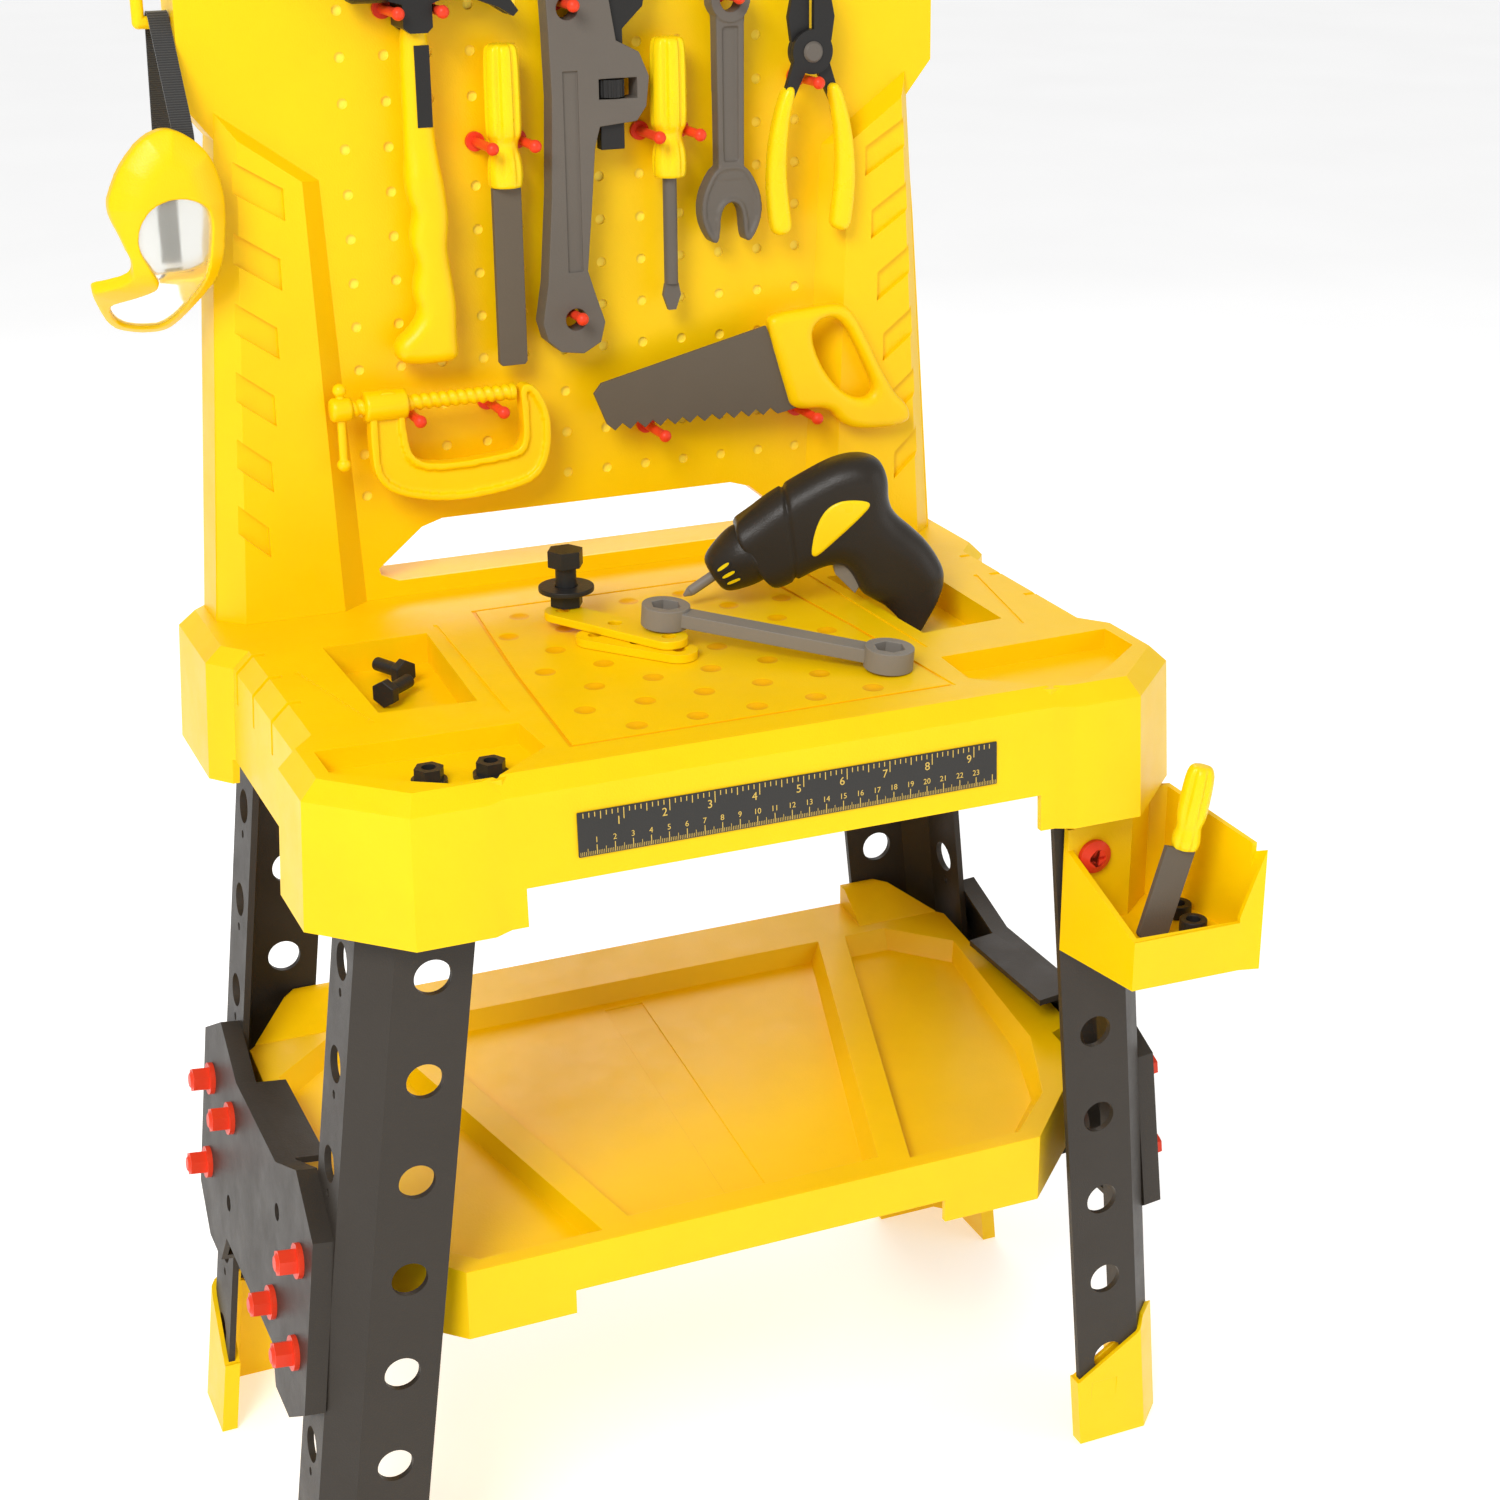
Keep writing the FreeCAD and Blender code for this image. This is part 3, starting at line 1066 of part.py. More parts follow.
def drill():
    """Toy drill standing nose down, its handle end in the right rear tray."""
    half = cells.drill_half
    at = (cells.drill_x, cells.drill_y, 0)
    turn = Rotation(Vector(0, 0, 1), DIMENSIONS["drill_turn"][0])
    nose_x, nose_z = -29.7, 575.6
    for side, name in ((-1, "drill_shell_left"), (1, "drill_shell_right")):
        shell = slab("drill_half_shell", "XZ", 0, side * half, DRILL_SHELL)
        room = slab("drill_trigger_room", "XZ", -6.5, 6.5, DRILL_TRIGGER_ROOM)
        bore = rod("drill_bore", (nose_x - 2, 0, nose_z - 1.3), (0.83, 0, 0.56), 4.35, 17)
        node(name, cut("drill_half_solid", shell, room, bore), at=at, turn=turn)
    plates = [slab("drill_inlay", "XZ", side * half, side * (half + 1), DRILL_INLAY) for side in (-1, 1)]
    node("drill_inlays", group("drill_inlays_group", plates), at=at, turn=turn)
    trigger = slab("drill_trigger_bar", "XZ", -6, 6, DRILL_TRIGGER)
    node("drill_trigger", group("drill_trigger_group", [trigger]), at=at, turn=turn)
    base = (nose_x - 0.4, 0, nose_z - 0.3)
    nose = cone("drill_nose", base, DRILL_NOSE, 17, 12, 24)
    spindle = rod("drill_spindle", base, (0.83, 0, 0.56), 4, 12)
    socket_at = (nose_x - 0.4 - 0.83 * 12, 0, nose_z - 0.3 - 0.56 * 12)
    socket = rod("drill_socket", socket_at, DRILL_NOSE, 3.2, 20)
    chuck = cut("drill_chuck_solid", fuse("drill_chuck_parts", nose, spindle), socket)
    node("drill_chuck", chuck, at=at, turn=turn)
    bit = rod("drill_bit_rod", socket_at, DRILL_NOSE, 3.2, 29)
    tip_at = (socket_at[0] - 0.83 * 29, 0, socket_at[2] - 0.56 * 29)
    tip = cone("drill_bit_tip", tip_at, DRILL_NOSE, 3.2, 0.8, 5)
    node("drill_bit", fuse("drill_bit_solid", bit, tip), at=at, turn=turn)


# --- loose pieces on the bench and in the trays ---------------------------------------------------

def link_plate(name, start, end, low):
    """Flat link with rounded ends and a hole at each end."""
    turn = Rotation(Vector(0, 0, 1), math.degrees(math.atan2(end[1] - start[1], end[0] - start[0])))
    length = math.hypot(end[0] - start[0], end[1] - start[1])
    radius, thick = cells.link_radius, cells.link_thickness
    bar = block("link_bar", 0, length, -radius, radius, 0, thick)
    ends = [rod("link_end", (reach, 0, 0), Z_AXIS, radius, thick) for reach in (0, length)]
    holes = [rod("link_hole", (reach, 0, -1), Z_AXIS, 4, thick + 2) for reach in (0, length / 2, length)]
    plate = cut(name + "_solid", fuse(name + "_parts", bar, *ends), *holes)
    node(name, plate, at=(start[0], start[1], low), turn=turn)


def links():
    first = cells.deck_height + cells.fit_gap
    link_plate("link_lower", (-45, 183), (-10, 140), first)
    link_plate("link_upper", (-52, 218), (-12, 150), first + cells.link_thickness + cells.fit_gap)


def box_wrench():
    """Double-ended ring wrench, one ring on the links and the other on the deck."""
    length, radius = cells.wrench_length, cells.wrench_ring
    level = cells.deck_height + 2 * cells.link_thickness + 3 * cells.fit_gap + 7.4
    bar = block("box_wrench_bar", 0, length, -6.5, 6.5, -4, 4)
    rings = [rod("box_wrench_ring", (reach, 0, -6.2), Z_AXIS, radius, 12.4) for reach in (0, length)]
    holes = [hexagon("box_wrench_hole", (reach, 0, -8), Z_AXIS, 9, 16) for reach in (0, length)]
    solid = cut("box_wrench_solid", fuse("box_wrench_parts", bar, *rings), *holes)
    heading = Rotation(Vector(0, 0, 1), math.degrees(math.atan2(-92, 98)))
    tilt = Rotation(Vector(0, 1, 0), 4.39)
    node("box_wrench", solid, at=(-8, 165, level), turn=heading * tilt)


def bench_bolt():
    """Large bolt standing on the upper link with a nut and a washer on it."""
    x, y = -47, 225
    foot = cells.deck_height + 2 * cells.link_thickness + 3 * cells.fit_gap
    shaft = rod("bench_bolt_shaft", (x, y, foot), Z_AXIS, 6.2, 26)
    head = hexagon("bench_bolt_head", (x, y, foot + 24.5), Z_AXIS, 11, 10)
    node("bench_bolt", fuse("bench_bolt_solid", shaft, head))
    nut = hexagon("bench_nut_hexagon", (x, y, foot + 0.3), Z_AXIS, 10, 8.7)
    node("bench_nut", cut("bench_nut_solid", nut, rod("bench_nut_bore", (x, y, foot - 1), Z_AXIS, 6.26, 12)))
    washer = rod("bench_washer_disc", (x, y, foot + 9.3), Z_AXIS, 16.5, 3)
    bore = rod("bench_washer_bore", (x, y, foot + 8), Z_AXIS, 6.6, 6)
    node("bench_washer", cut("bench_washer_solid", washer, bore))


def tray_bolts():
    floor = cells.deck_height - cells.rear_tray_depth
    bolts = []
    for x, y, heading in ((-174, 176, 40), (-152, 204, 115)):
        head = hexagon("tray_bolt_head", (0, 0, 0), X_AXIS, 8, 6)
        shank = rod("tray_bolt_shank", (6, 0, 0), X_AXIS, 4, 20)
        bolt = fuse("tray_bolt", head, shank)
        bolts.append(put(bolt, (x, y, floor + 8 + cells.fit_gap), Rotation(Vector(0, 0, 1), heading)))
    node("tray_bolts", group("tray_bolts_group", bolts))


def tray_nuts():
    floor = cells.deck_height - cells.front_tray_depth + cells.fit_gap
    nuts = []
    for x, y in ((-186, 46), (-154, 42)):
        flange = rod("tray_nut_flange", (x, y, floor), Z_AXIS, 9.5, 2.5)
        body = hexagon("tray_nut_hexagon", (x, y, floor + 2), Z_AXIS, 8, 7)
        bore = rod("tray_nut_bore", (x, y, floor - 1), Z_AXIS, 3.8, 12)
        nuts.append(cut("tray_nut", fuse("tray_nut_solid", flange, body), bore))
    node("tray_nuts", group("tray_nuts_group", nuts))


def bin_contents():
    floor = cells.bin_floor + cells.fit_gap
    nuts = []
    for x, y in ((246.5, 6), (243, -16)):
        ring = rod("bin_nut_ring", (x, y, floor), Z_AXIS, 8, 8)
        nuts.append(cut("bin_nut", ring, rod("bin_nut_bore", (x, y, floor - 1), Z_AXIS, 4.2, 10)))
    node("bin_nuts", group("bin_nuts_group", nuts))
    at, turn = (212, -20, cells.bin_floor + 3.6), Rotation(Vector(0, 1, 0), 17)
    bar = slab("file_bar", "XZ", -1.7, 1.7, [(-10, 2), (-8, 0), (8, 0), (10, 2), (10, 56), (-10, 56)])
    node("bin_file_blade", group("bin_file_blade_group", [bar]), at=at, turn=turn)
    grip = slab("file_grip", "XZ", -8, 8, mirrored([
        (8, 56), (10.5, 62), (9, 70), (10.5, 80), (10.5, 98), (7, 105)]))
    node("bin_file_handle", group("bin_file_handle_group", [grip]), at=at, turn=turn)


# --- building and writing -------------------------------------------------------------------------

def build():
    bench_top()
    ruler_strip()
    for side in (-1, 1):
        for back in (False, True):
            leg_and_foot(side, back)
        side_bracket(side)
    for make in (bracket_bolts, lower_shelf, corner_bin, bin_screw, back_panel, tool_pegs, side_hooks,
                 hammer, rasp, screwdriver, pipe_wrench, combination_wrench, pliers, saw, clamp, goggles,
                 drill, links, box_wrench, bench_bolt, tray_bolts, tray_nuts, bin_contents):
        make()


def check():
    """Stop if any object failed or any piece has no valid shape."""
    broken = [item.Name for item in doc.Objects if "Invalid" in item.State or "Error" in item.State]
    if broken:
        raise ValueError("objects that failed: " + ", ".join(broken))
    for thing in nodes:
        if thing.Shape.isNull() or not thing.Shape.isValid():
            raise ValueError("no valid shape in " + thing.Label)


def write():
    os.makedirs("parts", exist_ok=True)
    whole = FreeCAD.BoundBox()
    for thing in nodes:
        thing.Shape.exportStep("parts/" + thing.Label + ".step")
        whole.add(thing.Shape.BoundBox)
    print(len(nodes), "pieces", whole)


fill_sheet()
build()
doc.recompute()
check()
write()
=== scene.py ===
import math

import bmesh
import bpy
import numpy as np
from mathutils import Matrix, Vector


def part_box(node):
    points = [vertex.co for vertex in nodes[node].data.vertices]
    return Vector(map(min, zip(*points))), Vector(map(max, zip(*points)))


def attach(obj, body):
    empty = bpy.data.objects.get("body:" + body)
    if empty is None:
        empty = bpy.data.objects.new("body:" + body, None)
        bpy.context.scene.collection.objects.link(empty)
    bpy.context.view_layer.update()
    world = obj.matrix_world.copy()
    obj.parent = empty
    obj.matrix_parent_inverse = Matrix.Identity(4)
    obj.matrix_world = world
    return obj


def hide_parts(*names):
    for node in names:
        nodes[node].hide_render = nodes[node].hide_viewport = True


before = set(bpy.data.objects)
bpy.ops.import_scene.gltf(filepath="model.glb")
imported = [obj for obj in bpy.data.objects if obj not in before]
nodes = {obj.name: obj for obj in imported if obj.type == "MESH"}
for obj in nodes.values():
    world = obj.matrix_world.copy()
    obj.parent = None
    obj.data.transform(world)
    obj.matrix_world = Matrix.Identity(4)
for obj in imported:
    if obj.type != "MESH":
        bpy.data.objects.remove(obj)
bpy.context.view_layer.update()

# The camera stands in front of the bench and to its left, and looks down on the deck. Metres.
CAMERA_PLACE = (-0.50817, -1.29905, 1.03043)
CAMERA_RIGHT = (0.91799, -0.396561, -0.005882)
CAMERA_UP = (0.152621, 0.339532, 0.92813)
CAMERA_SENSOR, CAMERA_LENS = 36, 60.97

# Name, place, the point it faces, size in metres, and power in watts.
LIGHTS = [
    ("key_light", (-1.6, -1.8, 2.4), (0, 0, 0.6), 1.3, 64),
    ("fill_light", (2.2, -1.6, 1.3), (0, 0, 0.5), 2.0, 12),
    ("back_light", (0.6, 2.2, 2.2), (0, 0, 0.7), 1.6, 22),
]
WORLD_STRENGTH = 0.55
FLOOR_SIZE = 80

# A Mix node's colour sockets, which come after its number and vector ones.
MIX_FIRST, MIX_SECOND, MIX_RESULT = 6, 7, 2


# --- camera, floor and light --------------------------------------------------------------------------

def add_camera():
    data = bpy.data.cameras.new("camera")
    data.sensor_width = CAMERA_SENSOR
    data.lens = CAMERA_LENS
    data.clip_end = 20
    camera = bpy.data.objects.new("camera", data)
    bpy.context.scene.collection.objects.link(camera)
    right, up = Vector(CAMERA_RIGHT), Vector(CAMERA_UP)
    turn = Matrix((right, up, right.cross(up))).transposed().to_4x4()
    camera.matrix_world = Matrix.Translation(CAMERA_PLACE) @ turn
    bpy.context.scene.camera = camera


def add_light(name, place, target, size, power):
    data = bpy.data.lights.new(name, "AREA")
    data.shape = "DISK"
    data.size = size
    data.energy = power
    light = bpy.data.objects.new(name, data)
    bpy.context.scene.collection.objects.link(light)
    light.location = place
    light.rotation_euler = (Vector(target) - Vector(place)).to_track_quat("-Z", "Y").to_euler()


def add_studio():
    add_camera()
    for light in LIGHTS:
        add_light(*light)
    world = bpy.data.worlds.new("studio")
    world.use_nodes = True
    background = world.node_tree.nodes["Background"]
    background.inputs["Color"].default_value = (1, 1, 1, 1)
    background.inputs["Strength"].default_value = WORLD_STRENGTH
    bpy.context.scene.world = world
    bpy.context.scene.view_settings.view_transform = "Standard"
    bpy.ops.mesh.primitive_plane_add(size=FLOOR_SIZE, location=(0, 0, -0.0005))
    floor = bpy.context.object
    floor.name = "studio_floor"
    floor.data.materials.append(floor_material())


# --- materials ----------------------------------------------------------------------------------------

class Shader:
    """A new material, or a copy of one, with short calls to add and join its nodes."""

    def __init__(self, name, base=None):
        self.material = base.copy() if base else bpy.data.materials.new(name)
        self.material.name = name
        self.material.use_nodes = True
        self.tree = self.material.node_tree
        self.surface = self.tree.nodes["Principled BSDF"]

    def put(self, **values):
        """Set sockets of the surface. An underscore stands for a space."""
        for name, value in values.items():
            self.surface.inputs[name.replace("_", " ")].default_value = value

    def add(self, kind, **values):
        """A new node, with its sockets or settings given by name."""
        node = self.tree.nodes.new("ShaderNode" + kind)
        for name, value in values.items():
            if name in node.inputs.keys():
                node.inputs[name].default_value = value
            else:
                setattr(node, name, value)
        return node

    def join(self, source, output, target, socket):
        self.tree.links.new(source.outputs[output], target.inputs[socket])
        return target

    def noise(self, scale, detail=4, roughness=0.5):
        place = self.add("TexCoord")
        noise = self.add("TexNoise", Scale=scale, Detail=detail, Roughness=roughness)
        return self.join(place, "Object", noise, "Vector")

    def ramp(self, source, stops, socket):
        """Colour ramp of (position, colour) stops from a node's factor onto a socket of the surface."""
        ramp = self.add("ValToRGB")
        band = ramp.color_ramp
        band.elements[0].position, band.elements[0].color = stops[0][0], (*stops[0][1], 1)
        band.elements[1].position, band.elements[1].color = stops[-1][0], (*stops[-1][1], 1)
        for position, colour in stops[1:-1]:
            band.elements.new(position).color = (*colour, 1)
        self.join(source, "Fac", ramp, "Fac")
        self.join(ramp, "Color", self.surface, socket)

    def bump(self, sources, distance):
        """Chain of bumps, from (node, strength) entries, onto the surface."""
        last = None
        for source, strength in sources:
            bump = self.add("Bump", Strength=strength, Distance=distance)
            self.join(source, "Fac", bump, "Height")
            if last:
                self.join(last, "Normal", bump, "Normal")
            last = bump
        self.join(last, "Normal", self.surface, "Normal")


def shade(colour, factor):
    return tuple(min(channel * factor, 1) for channel in colour)


def grey(level):
    return (level, level, level)


def plastic(name, colour, rough=0.42, grain=900, depth=0.18, soft=0.0):
    """Moulded plastic: faint flow marks in the colour, fine grain, and a little wear in the gloss."""
    made = Shader(name)
    made.ramp(made.noise(7, 5, 0.6), [(0.3, shade(colour, 0.94)), (0.5, colour), (0.72, shade(colour, 1.06))],
              "Base Color")
    made.ramp(made.noise(38, 6, 0.65), [(0.25, grey(rough - 0.07)), (0.75, grey(rough + 0.08))], "Roughness")
    made.bump([(made.noise(60, 3), 0.05), (made.noise(grain, 2), depth)], 0.0006)
    made.put(Specular_IOR_Level=0.24)
    if soft:
        made.put(Subsurface_Weight=soft, Subsurface_Radius=(0.008, 0.004, 0.001), Subsurface_Scale=0.6)
    return made.material


def painted_light_plastic(base, name, spans, colour):
    """A plastic with another tint inside a box, given as (axis, middle, half width) spans; the tint is
    painted light where paler and painted shade where deeper.
    """
    made = Shader(name, base)
    axes = made.join(made.add("TexCoord"), "Object", made.add("SeparateXYZ"), 0)
    mask = None
    for axis, middle, spread in spans:
        inside = made.add("Math", operation="COMPARE")
        inside.inputs[1].default_value, inside.inputs[2].default_value = middle, spread
        made.join(axes, axis, inside, 0)
        if mask:
            both = made.add("Math", operation="MULTIPLY")
            made.join(mask, 0, both, 0)
            inside = made.join(inside, 0, both, 1)
        mask = inside
    # The colour inside the box is painted light or painted shade, mixed over the plain colour.
    mix = made.add("Mix", data_type="RGBA")
    made.join(mask, 0, mix, "Factor")
    plain = made.surface.inputs["Base Color"].links[0].from_node
    made.join(plain, "Color", mix, MIX_FIRST)
    mix.inputs[MIX_SECOND].default_value = (*colour, 1)
    made.join(mix, MIX_RESULT, made.surface, "Base Color")
    return made.material


def floor_material():
    made = Shader("floor_paint")
    made.ramp(made.noise(2, 3), [(0.3, grey(0.86)), (0.7, grey(0.9))], "Base Color")
    made.put(Roughness=0.8, Emission_Color=(1, 1, 1, 1), Emission_Strength=0.42)
    return made.material


def clear_plastic():
    made = Shader("clear_pane")
    made.ramp(made.noise(14, 3), [(0.3, (0.86, 0.86, 0.8)), (0.7, (0.93, 0.93, 0.9))], "Base Color")
    made.ramp(made.noise(90, 3), [(0.3, grey(0.08)), (0.7, grey(0.16))], "Roughness")
    made.put(Transmission_Weight=0.85, IOR=1.45)
    return made.material


def woven_strap():
    """Flat elastic: fine ribs across a woven band."""
    made = Shader("woven_elastic")
    ribs = made.add("TexWave", Scale=260, Distortion=0.4, bands_direction="Z")
    made.join(made.add("TexCoord"), "Object", ribs, "Vector")
    made.ramp(ribs, [(0.2, (0.012, 0.012, 0.012)), (0.8, (0.035, 0.034, 0.033))], "Base Color")
    made.bump([(ribs, 0.5), (made.noise(1200, 2), 0.3)], 0.0005)
    made.put(Roughness=0.85, Sheen_Weight=0.3)
    return made.material


YELLOW = plastic("yellow_moulding", (0.93, 0.585, 0.0), 0.36, soft=0.10)
YELLOW_TOOL = plastic("yellow_handle", (0.95, 0.65, 0.004), 0.28, grain=500, depth=0.08, soft=0.25)
DARK = plastic("charcoal_leg", (0.038, 0.031, 0.024), 0.46, grain=1100, depth=0.3)
DRILL = plastic("charcoal_shell", (0.024, 0.019, 0.014), 0.34, grain=1300, depth=0.3)
GREY = plastic("tool_grey", (0.125, 0.108, 0.09), 0.45, grain=800, depth=0.2)
PALE_GREY = plastic("wrench_grey", (0.215, 0.195, 0.17), 0.44, grain=800, depth=0.2)
BLADE = plastic("blade_grey", (0.115, 0.092, 0.066), 0.5, grain=700, depth=0.2)
BLACK = plastic("black_fastener", (0.02, 0.019, 0.018), 0.40, grain=700, depth=0.2)
RED = plastic("red_fastener", (0.78, 0.05, 0.016), 0.36, grain=600, depth=0.1, soft=0.1)
STRIP = plastic("ruler_black", (0.035, 0.033, 0.03), 0.5, grain=900, depth=0.15)
PRINT = plastic("ruler_print", (0.62, 0.42, 0.09), 0.55, grain=900, depth=0.05)
PANE = clear_plastic()
ELASTIC = woven_strap()


# --- finish of the CAD nodes --------------------------------------------------------------------------

# Material of each CAD node that isn't plain yellow, by the start of its name.
FINISH = {
    "drill_trigger": PALE_GREY, "leg": DARK, "side_bracket": DARK, "bracket_bolts": RED, "tool_pegs": RED,
    "bin_screw": RED, "ruler_strip": STRIP, "goggle_lens": PANE, "goggle_strap": ELASTIC,
    "hammer_head": BLACK, "rasp_handle": YELLOW_TOOL, "rasp_blade": BLADE, "screwdriver_handle": YELLOW_TOOL,
    "screwdriver_shaft": GREY, "wrench_body": GREY, "wrench_jaw": BLACK, "wrench_knurl": BLACK,
    "combination_wrench": GREY, "pliers_half": BLACK, "pliers_pin": GREY, "saw_blade": BLADE,
    "drill_shell": DRILL, "drill_chuck": BLACK, "drill_bit": PALE_GREY, "box_wrench": PALE_GREY,
    "bench_bolt": BLACK, "bench_nut": BLACK, "bench_washer": BLACK, "tray_bolts": BLACK, "tray_nuts": BLACK,
    "bin_nuts": BLACK, "bin_file_blade": BLADE, "bin_file_handle": YELLOW_TOOL, "pliers_grip": YELLOW_TOOL,
}

# Radius of the rounded edges of each CAD node, in millimetres, by the start of its name.
ROUNDING = {
    "bench_top": 4.0, "back_panel": 3.0, "lower_shelf": 3.5, "corner_bin": 1.2, "leg": 0.8, "foot": 2.0,
    "side_bracket": 1.0, "hammer_handle": 5.0, "hammer_head": 2.5, "wrench_body": 2.5,
    "combination_wrench": 1.8, "pliers_grip": 4.0, "saw_handle": 3.0, "clamp_frame": 2.5, "drill_shell": 6.0,
    "box_wrench": 1.2, "saw_blade": 0.3, "rasp_blade": 0.5, "bin_file_blade": 0.4, "bin_file_handle": 2.5,
    "link": 0.8,
}
SMALL_ROUNDING = 0.6


def by_name(table, name, otherwise):
    """Entry of a table whose key starts the node's name."""
    for key, value in table.items():
        if name.startswith(key):
            return value
    return otherwise


def finish_node(name):
    """Weld, tidy and round a CAD node, and give it its material."""
    piece = nodes[name]
    piece.data.materials.clear()
    piece.data.materials.append(by_name(FINISH, name, YELLOW))
    for face in piece.data.polygons:
        face.use_smooth = True
    weld = piece.modifiers.new("weld", "WELD")
    weld.merge_threshold = 0.00002
    tidy = piece.modifiers.new("tidy", "DECIMATE")
    tidy.decimate_type = "DISSOLVE"
    tidy.angle_limit = math.radians(0.5)
    bevel = piece.modifiers.new("rounding", "BEVEL")
    bevel.width = by_name(ROUNDING, name, SMALL_ROUNDING) / 1000
    bevel.segments = 3
    bevel.limit_method = "ANGLE"
    bevel.angle_limit = math.radians(28)
    bevel.use_clamp_overlap = True
    piece.modifiers.new("normals", "WEIGHTED_NORMAL").keep_sharp = True


def paint_dimple_light_and_shade():
    """Painted light in the panel's dimples, as a paler tint, and painted shade in the deck's dimples and
    lines, as a deeper tint. Metres.
    """
    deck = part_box("bench_top")[1][2]
    panel_light_spans = [("Y", 0.14015, 0.0009), ("X", 0, 0.152), ("Z", 1.55, 1.0)]
    deck_shade_spans = [("Z", deck - 0.0011, 0.0007), ("X", 0, 0.113), ("Y", -0.02, 0.13)]
    # The paler colour is painted light in the panel's dimples; the deeper colour is painted shade in the
    # deck's dimples and lines.
    for name, finish, spans, colour in (("back_panel", "yellow_panel_painted_light", panel_light_spans, (1.0, 0.76, 0.07)),
                                        ("bench_top", "yellow_deck_painted_shade", deck_shade_spans, (0.85, 0.43, 0.0))):
        nodes[name].data.materials[0] = painted_light_plastic(YELLOW, finish, spans, colour)


# --- making meshes ------------------------------------------------------------------------------------

# Shapes below are in working millimetres, whose origin is this far from the object's own one.
ORIGIN = Vector((-1.63, 172.95, 0))
WORKING = Matrix.Translation(-ORIGIN / 1000) @ Matrix.Scale(0.001, 4)
# Stands a flat outline up, so that it runs along X and Z and its thickness along Y.
UPRIGHT = Matrix(((1, 0, 0, 0), (0, 0, -1, 0), (0, 1, 0, 0), (0, 0, 0, 1)))
# Lays something made along Z down along X.
ALONG_X = Matrix.Rotation(math.radians(90), 4, "Y")


def working_box(name):
    """Lowest and highest corners of a CAD node, in working millimetres."""
    return [Vector(corner) * 1000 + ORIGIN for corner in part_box(name)]


def working(name):
    """Middle of a CAD node, in working millimetres."""
    low, high = working_box(name)
    return (low + high) / 2


def upright_at(y):
    return Matrix.Translation((0, y, 0)) @ UPRIGHT


def facing(direction):
    """Turn that points Z along a direction."""
    return direction.to_track_quat("Z", "Y").to_matrix().to_4x4()


def add_piece(name, mesh, material, place=Matrix()):
    """A new object of a mesh, moved from working millimetres into the object's frame."""
    mesh.transform(WORKING @ place)
    mesh.materials.clear()
    mesh.materials.append(material)
    mesh.polygons.foreach_set("use_smooth", [True] * len(mesh.polygons))
    piece = bpy.data.objects.new(name, mesh)
    bpy.context.scene.collection.objects.link(piece)
    return piece


def stand_for(piece, body, slot, *names):
    """Ride on a body and hide the CAD nodes that the piece replaces. The slot is not used."""
    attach(piece, body)
    if names:
        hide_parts(*names)


def softened(points, passes=2):
    """Closed outline with its corners cut, pass after pass, into curves."""
    for _ in range(passes):
        rounder = []
        for (a, b), (c, d) in zip(points, points[1:] + points[:1]):
            rounder.append((0.75 * a + 0.25 * c, 0.75 * b + 0.25 * d))
            rounder.append((0.25 * a + 0.75 * c, 0.25 * b + 0.75 * d))
        points = rounder
    return points


def inset(points, distance):
    """Outline moved inwards, for one that runs clockwise."""
    count, moved = len(points), []
    for index, (a, b) in enumerate(points):
        before, after = points[index - 2], points[(index + 2) % count]
        run = Vector((after[0] - before[0], after[1] - before[1])).normalized()
        moved.append((a + run.y * distance, b - run.x * distance))
    return moved


def disc(x, y, radius, steps=40):
    """Points round a circle."""
    turns = [2 * math.pi * step / steps for step in range(steps)]
    return [(x + radius * math.cos(turn), y + radius * math.sin(turn)) for turn in turns]


def rectangle(left, low, right, high):
    return [(left, low), (right, low), (right, high), (left, high)]


def mesh_of_curve(curve):
    """The filled mesh of a curve, which is then removed."""
    holder = bpy.data.objects.new(curve.name, curve)
    mesh = bpy.data.meshes.new_from_object(holder)
    bpy.data.objects.remove(holder)
    bpy.data.curves.remove(curve)
    return mesh


def flat_mesh(loops, low, high):
    """Solid mesh of an outline with holes, between two levels of its own Z."""
    curve = bpy.data.curves.new("outline", "CURVE")
    curve.dimensions = "2D"
    curve.fill_mode = "BOTH"
    curve.extrude = (high - low) / 2
    for points in loops:
        spline = curve.splines.new("POLY")
        spline.points.add(len(points) - 1)
        for point, (a, b) in zip(spline.points, points):
            point.co = (a, b, 0, 1)
        spline.use_cyclic_u = True
    mesh = mesh_of_curve(curve)
    mesh.transform(Matrix.Translation((0, 0, (low + high) / 2)))
    return mesh


def skinned(rings):
    """Closed mesh through rings of points, with a cap on each end."""
    body = bmesh.new()
    rows = [[body.verts.new(point) for point in ring] for ring in rings]
    for low, high in zip(rows, rows[1:]):
        for step in range(len(low)):
            after = (step + 1) % len(low)
            body.faces.new((low[step], low[after], high[after], high[step]))
    body.faces.new(rows[0][::-1])
    body.faces.new(rows[-1])
    bmesh.ops.recalc_face_normals(body, faces=body.faces)
    mesh = bpy.data.meshes.new("skin")
    body.to_mesh(mesh)
    body.free()
    return mesh


def joined(meshes):
    """One mesh of several."""
    bundle = bmesh.new()
    for mesh in meshes:
        bundle.from_mesh(mesh)
    result = bpy.data.meshes.new("joined")
    bundle.to_mesh(result)
    bundle.free()
    return result


def reworked(mesh, modifiers):
    """The mesh after a list of modifiers, given as (kind, settings) entries."""
    holder = bpy.data.objects.new("rework", mesh)
    bpy.context.scene.collection.objects.link(holder)
    for kind, settings in modifiers:
        made = holder.modifiers.new(kind, kind)
        for key, value in settings.items():
            setattr(made, key, value)
    graph = bpy.context.evaluated_depsgraph_get()
    graph.update()
    result = bpy.data.meshes.new_from_object(holder.evaluated_get(graph))
    bpy.data.objects.remove(holder)
    return result


def voxels(size):
    return "REMESH", {"mode": "VOXEL", "voxel_size": size}


def smoothing(passes):
    return "SMOOTH", {"iterations": passes, "factor": 0.5}


SUBDIVISION = ("SUBSURF", {"levels": 1})


def vertices(mesh):
    places = np.empty(3 * len(mesh.vertices))
    mesh.vertices.foreach_get("co", places)
    return places.reshape(-1, 3)


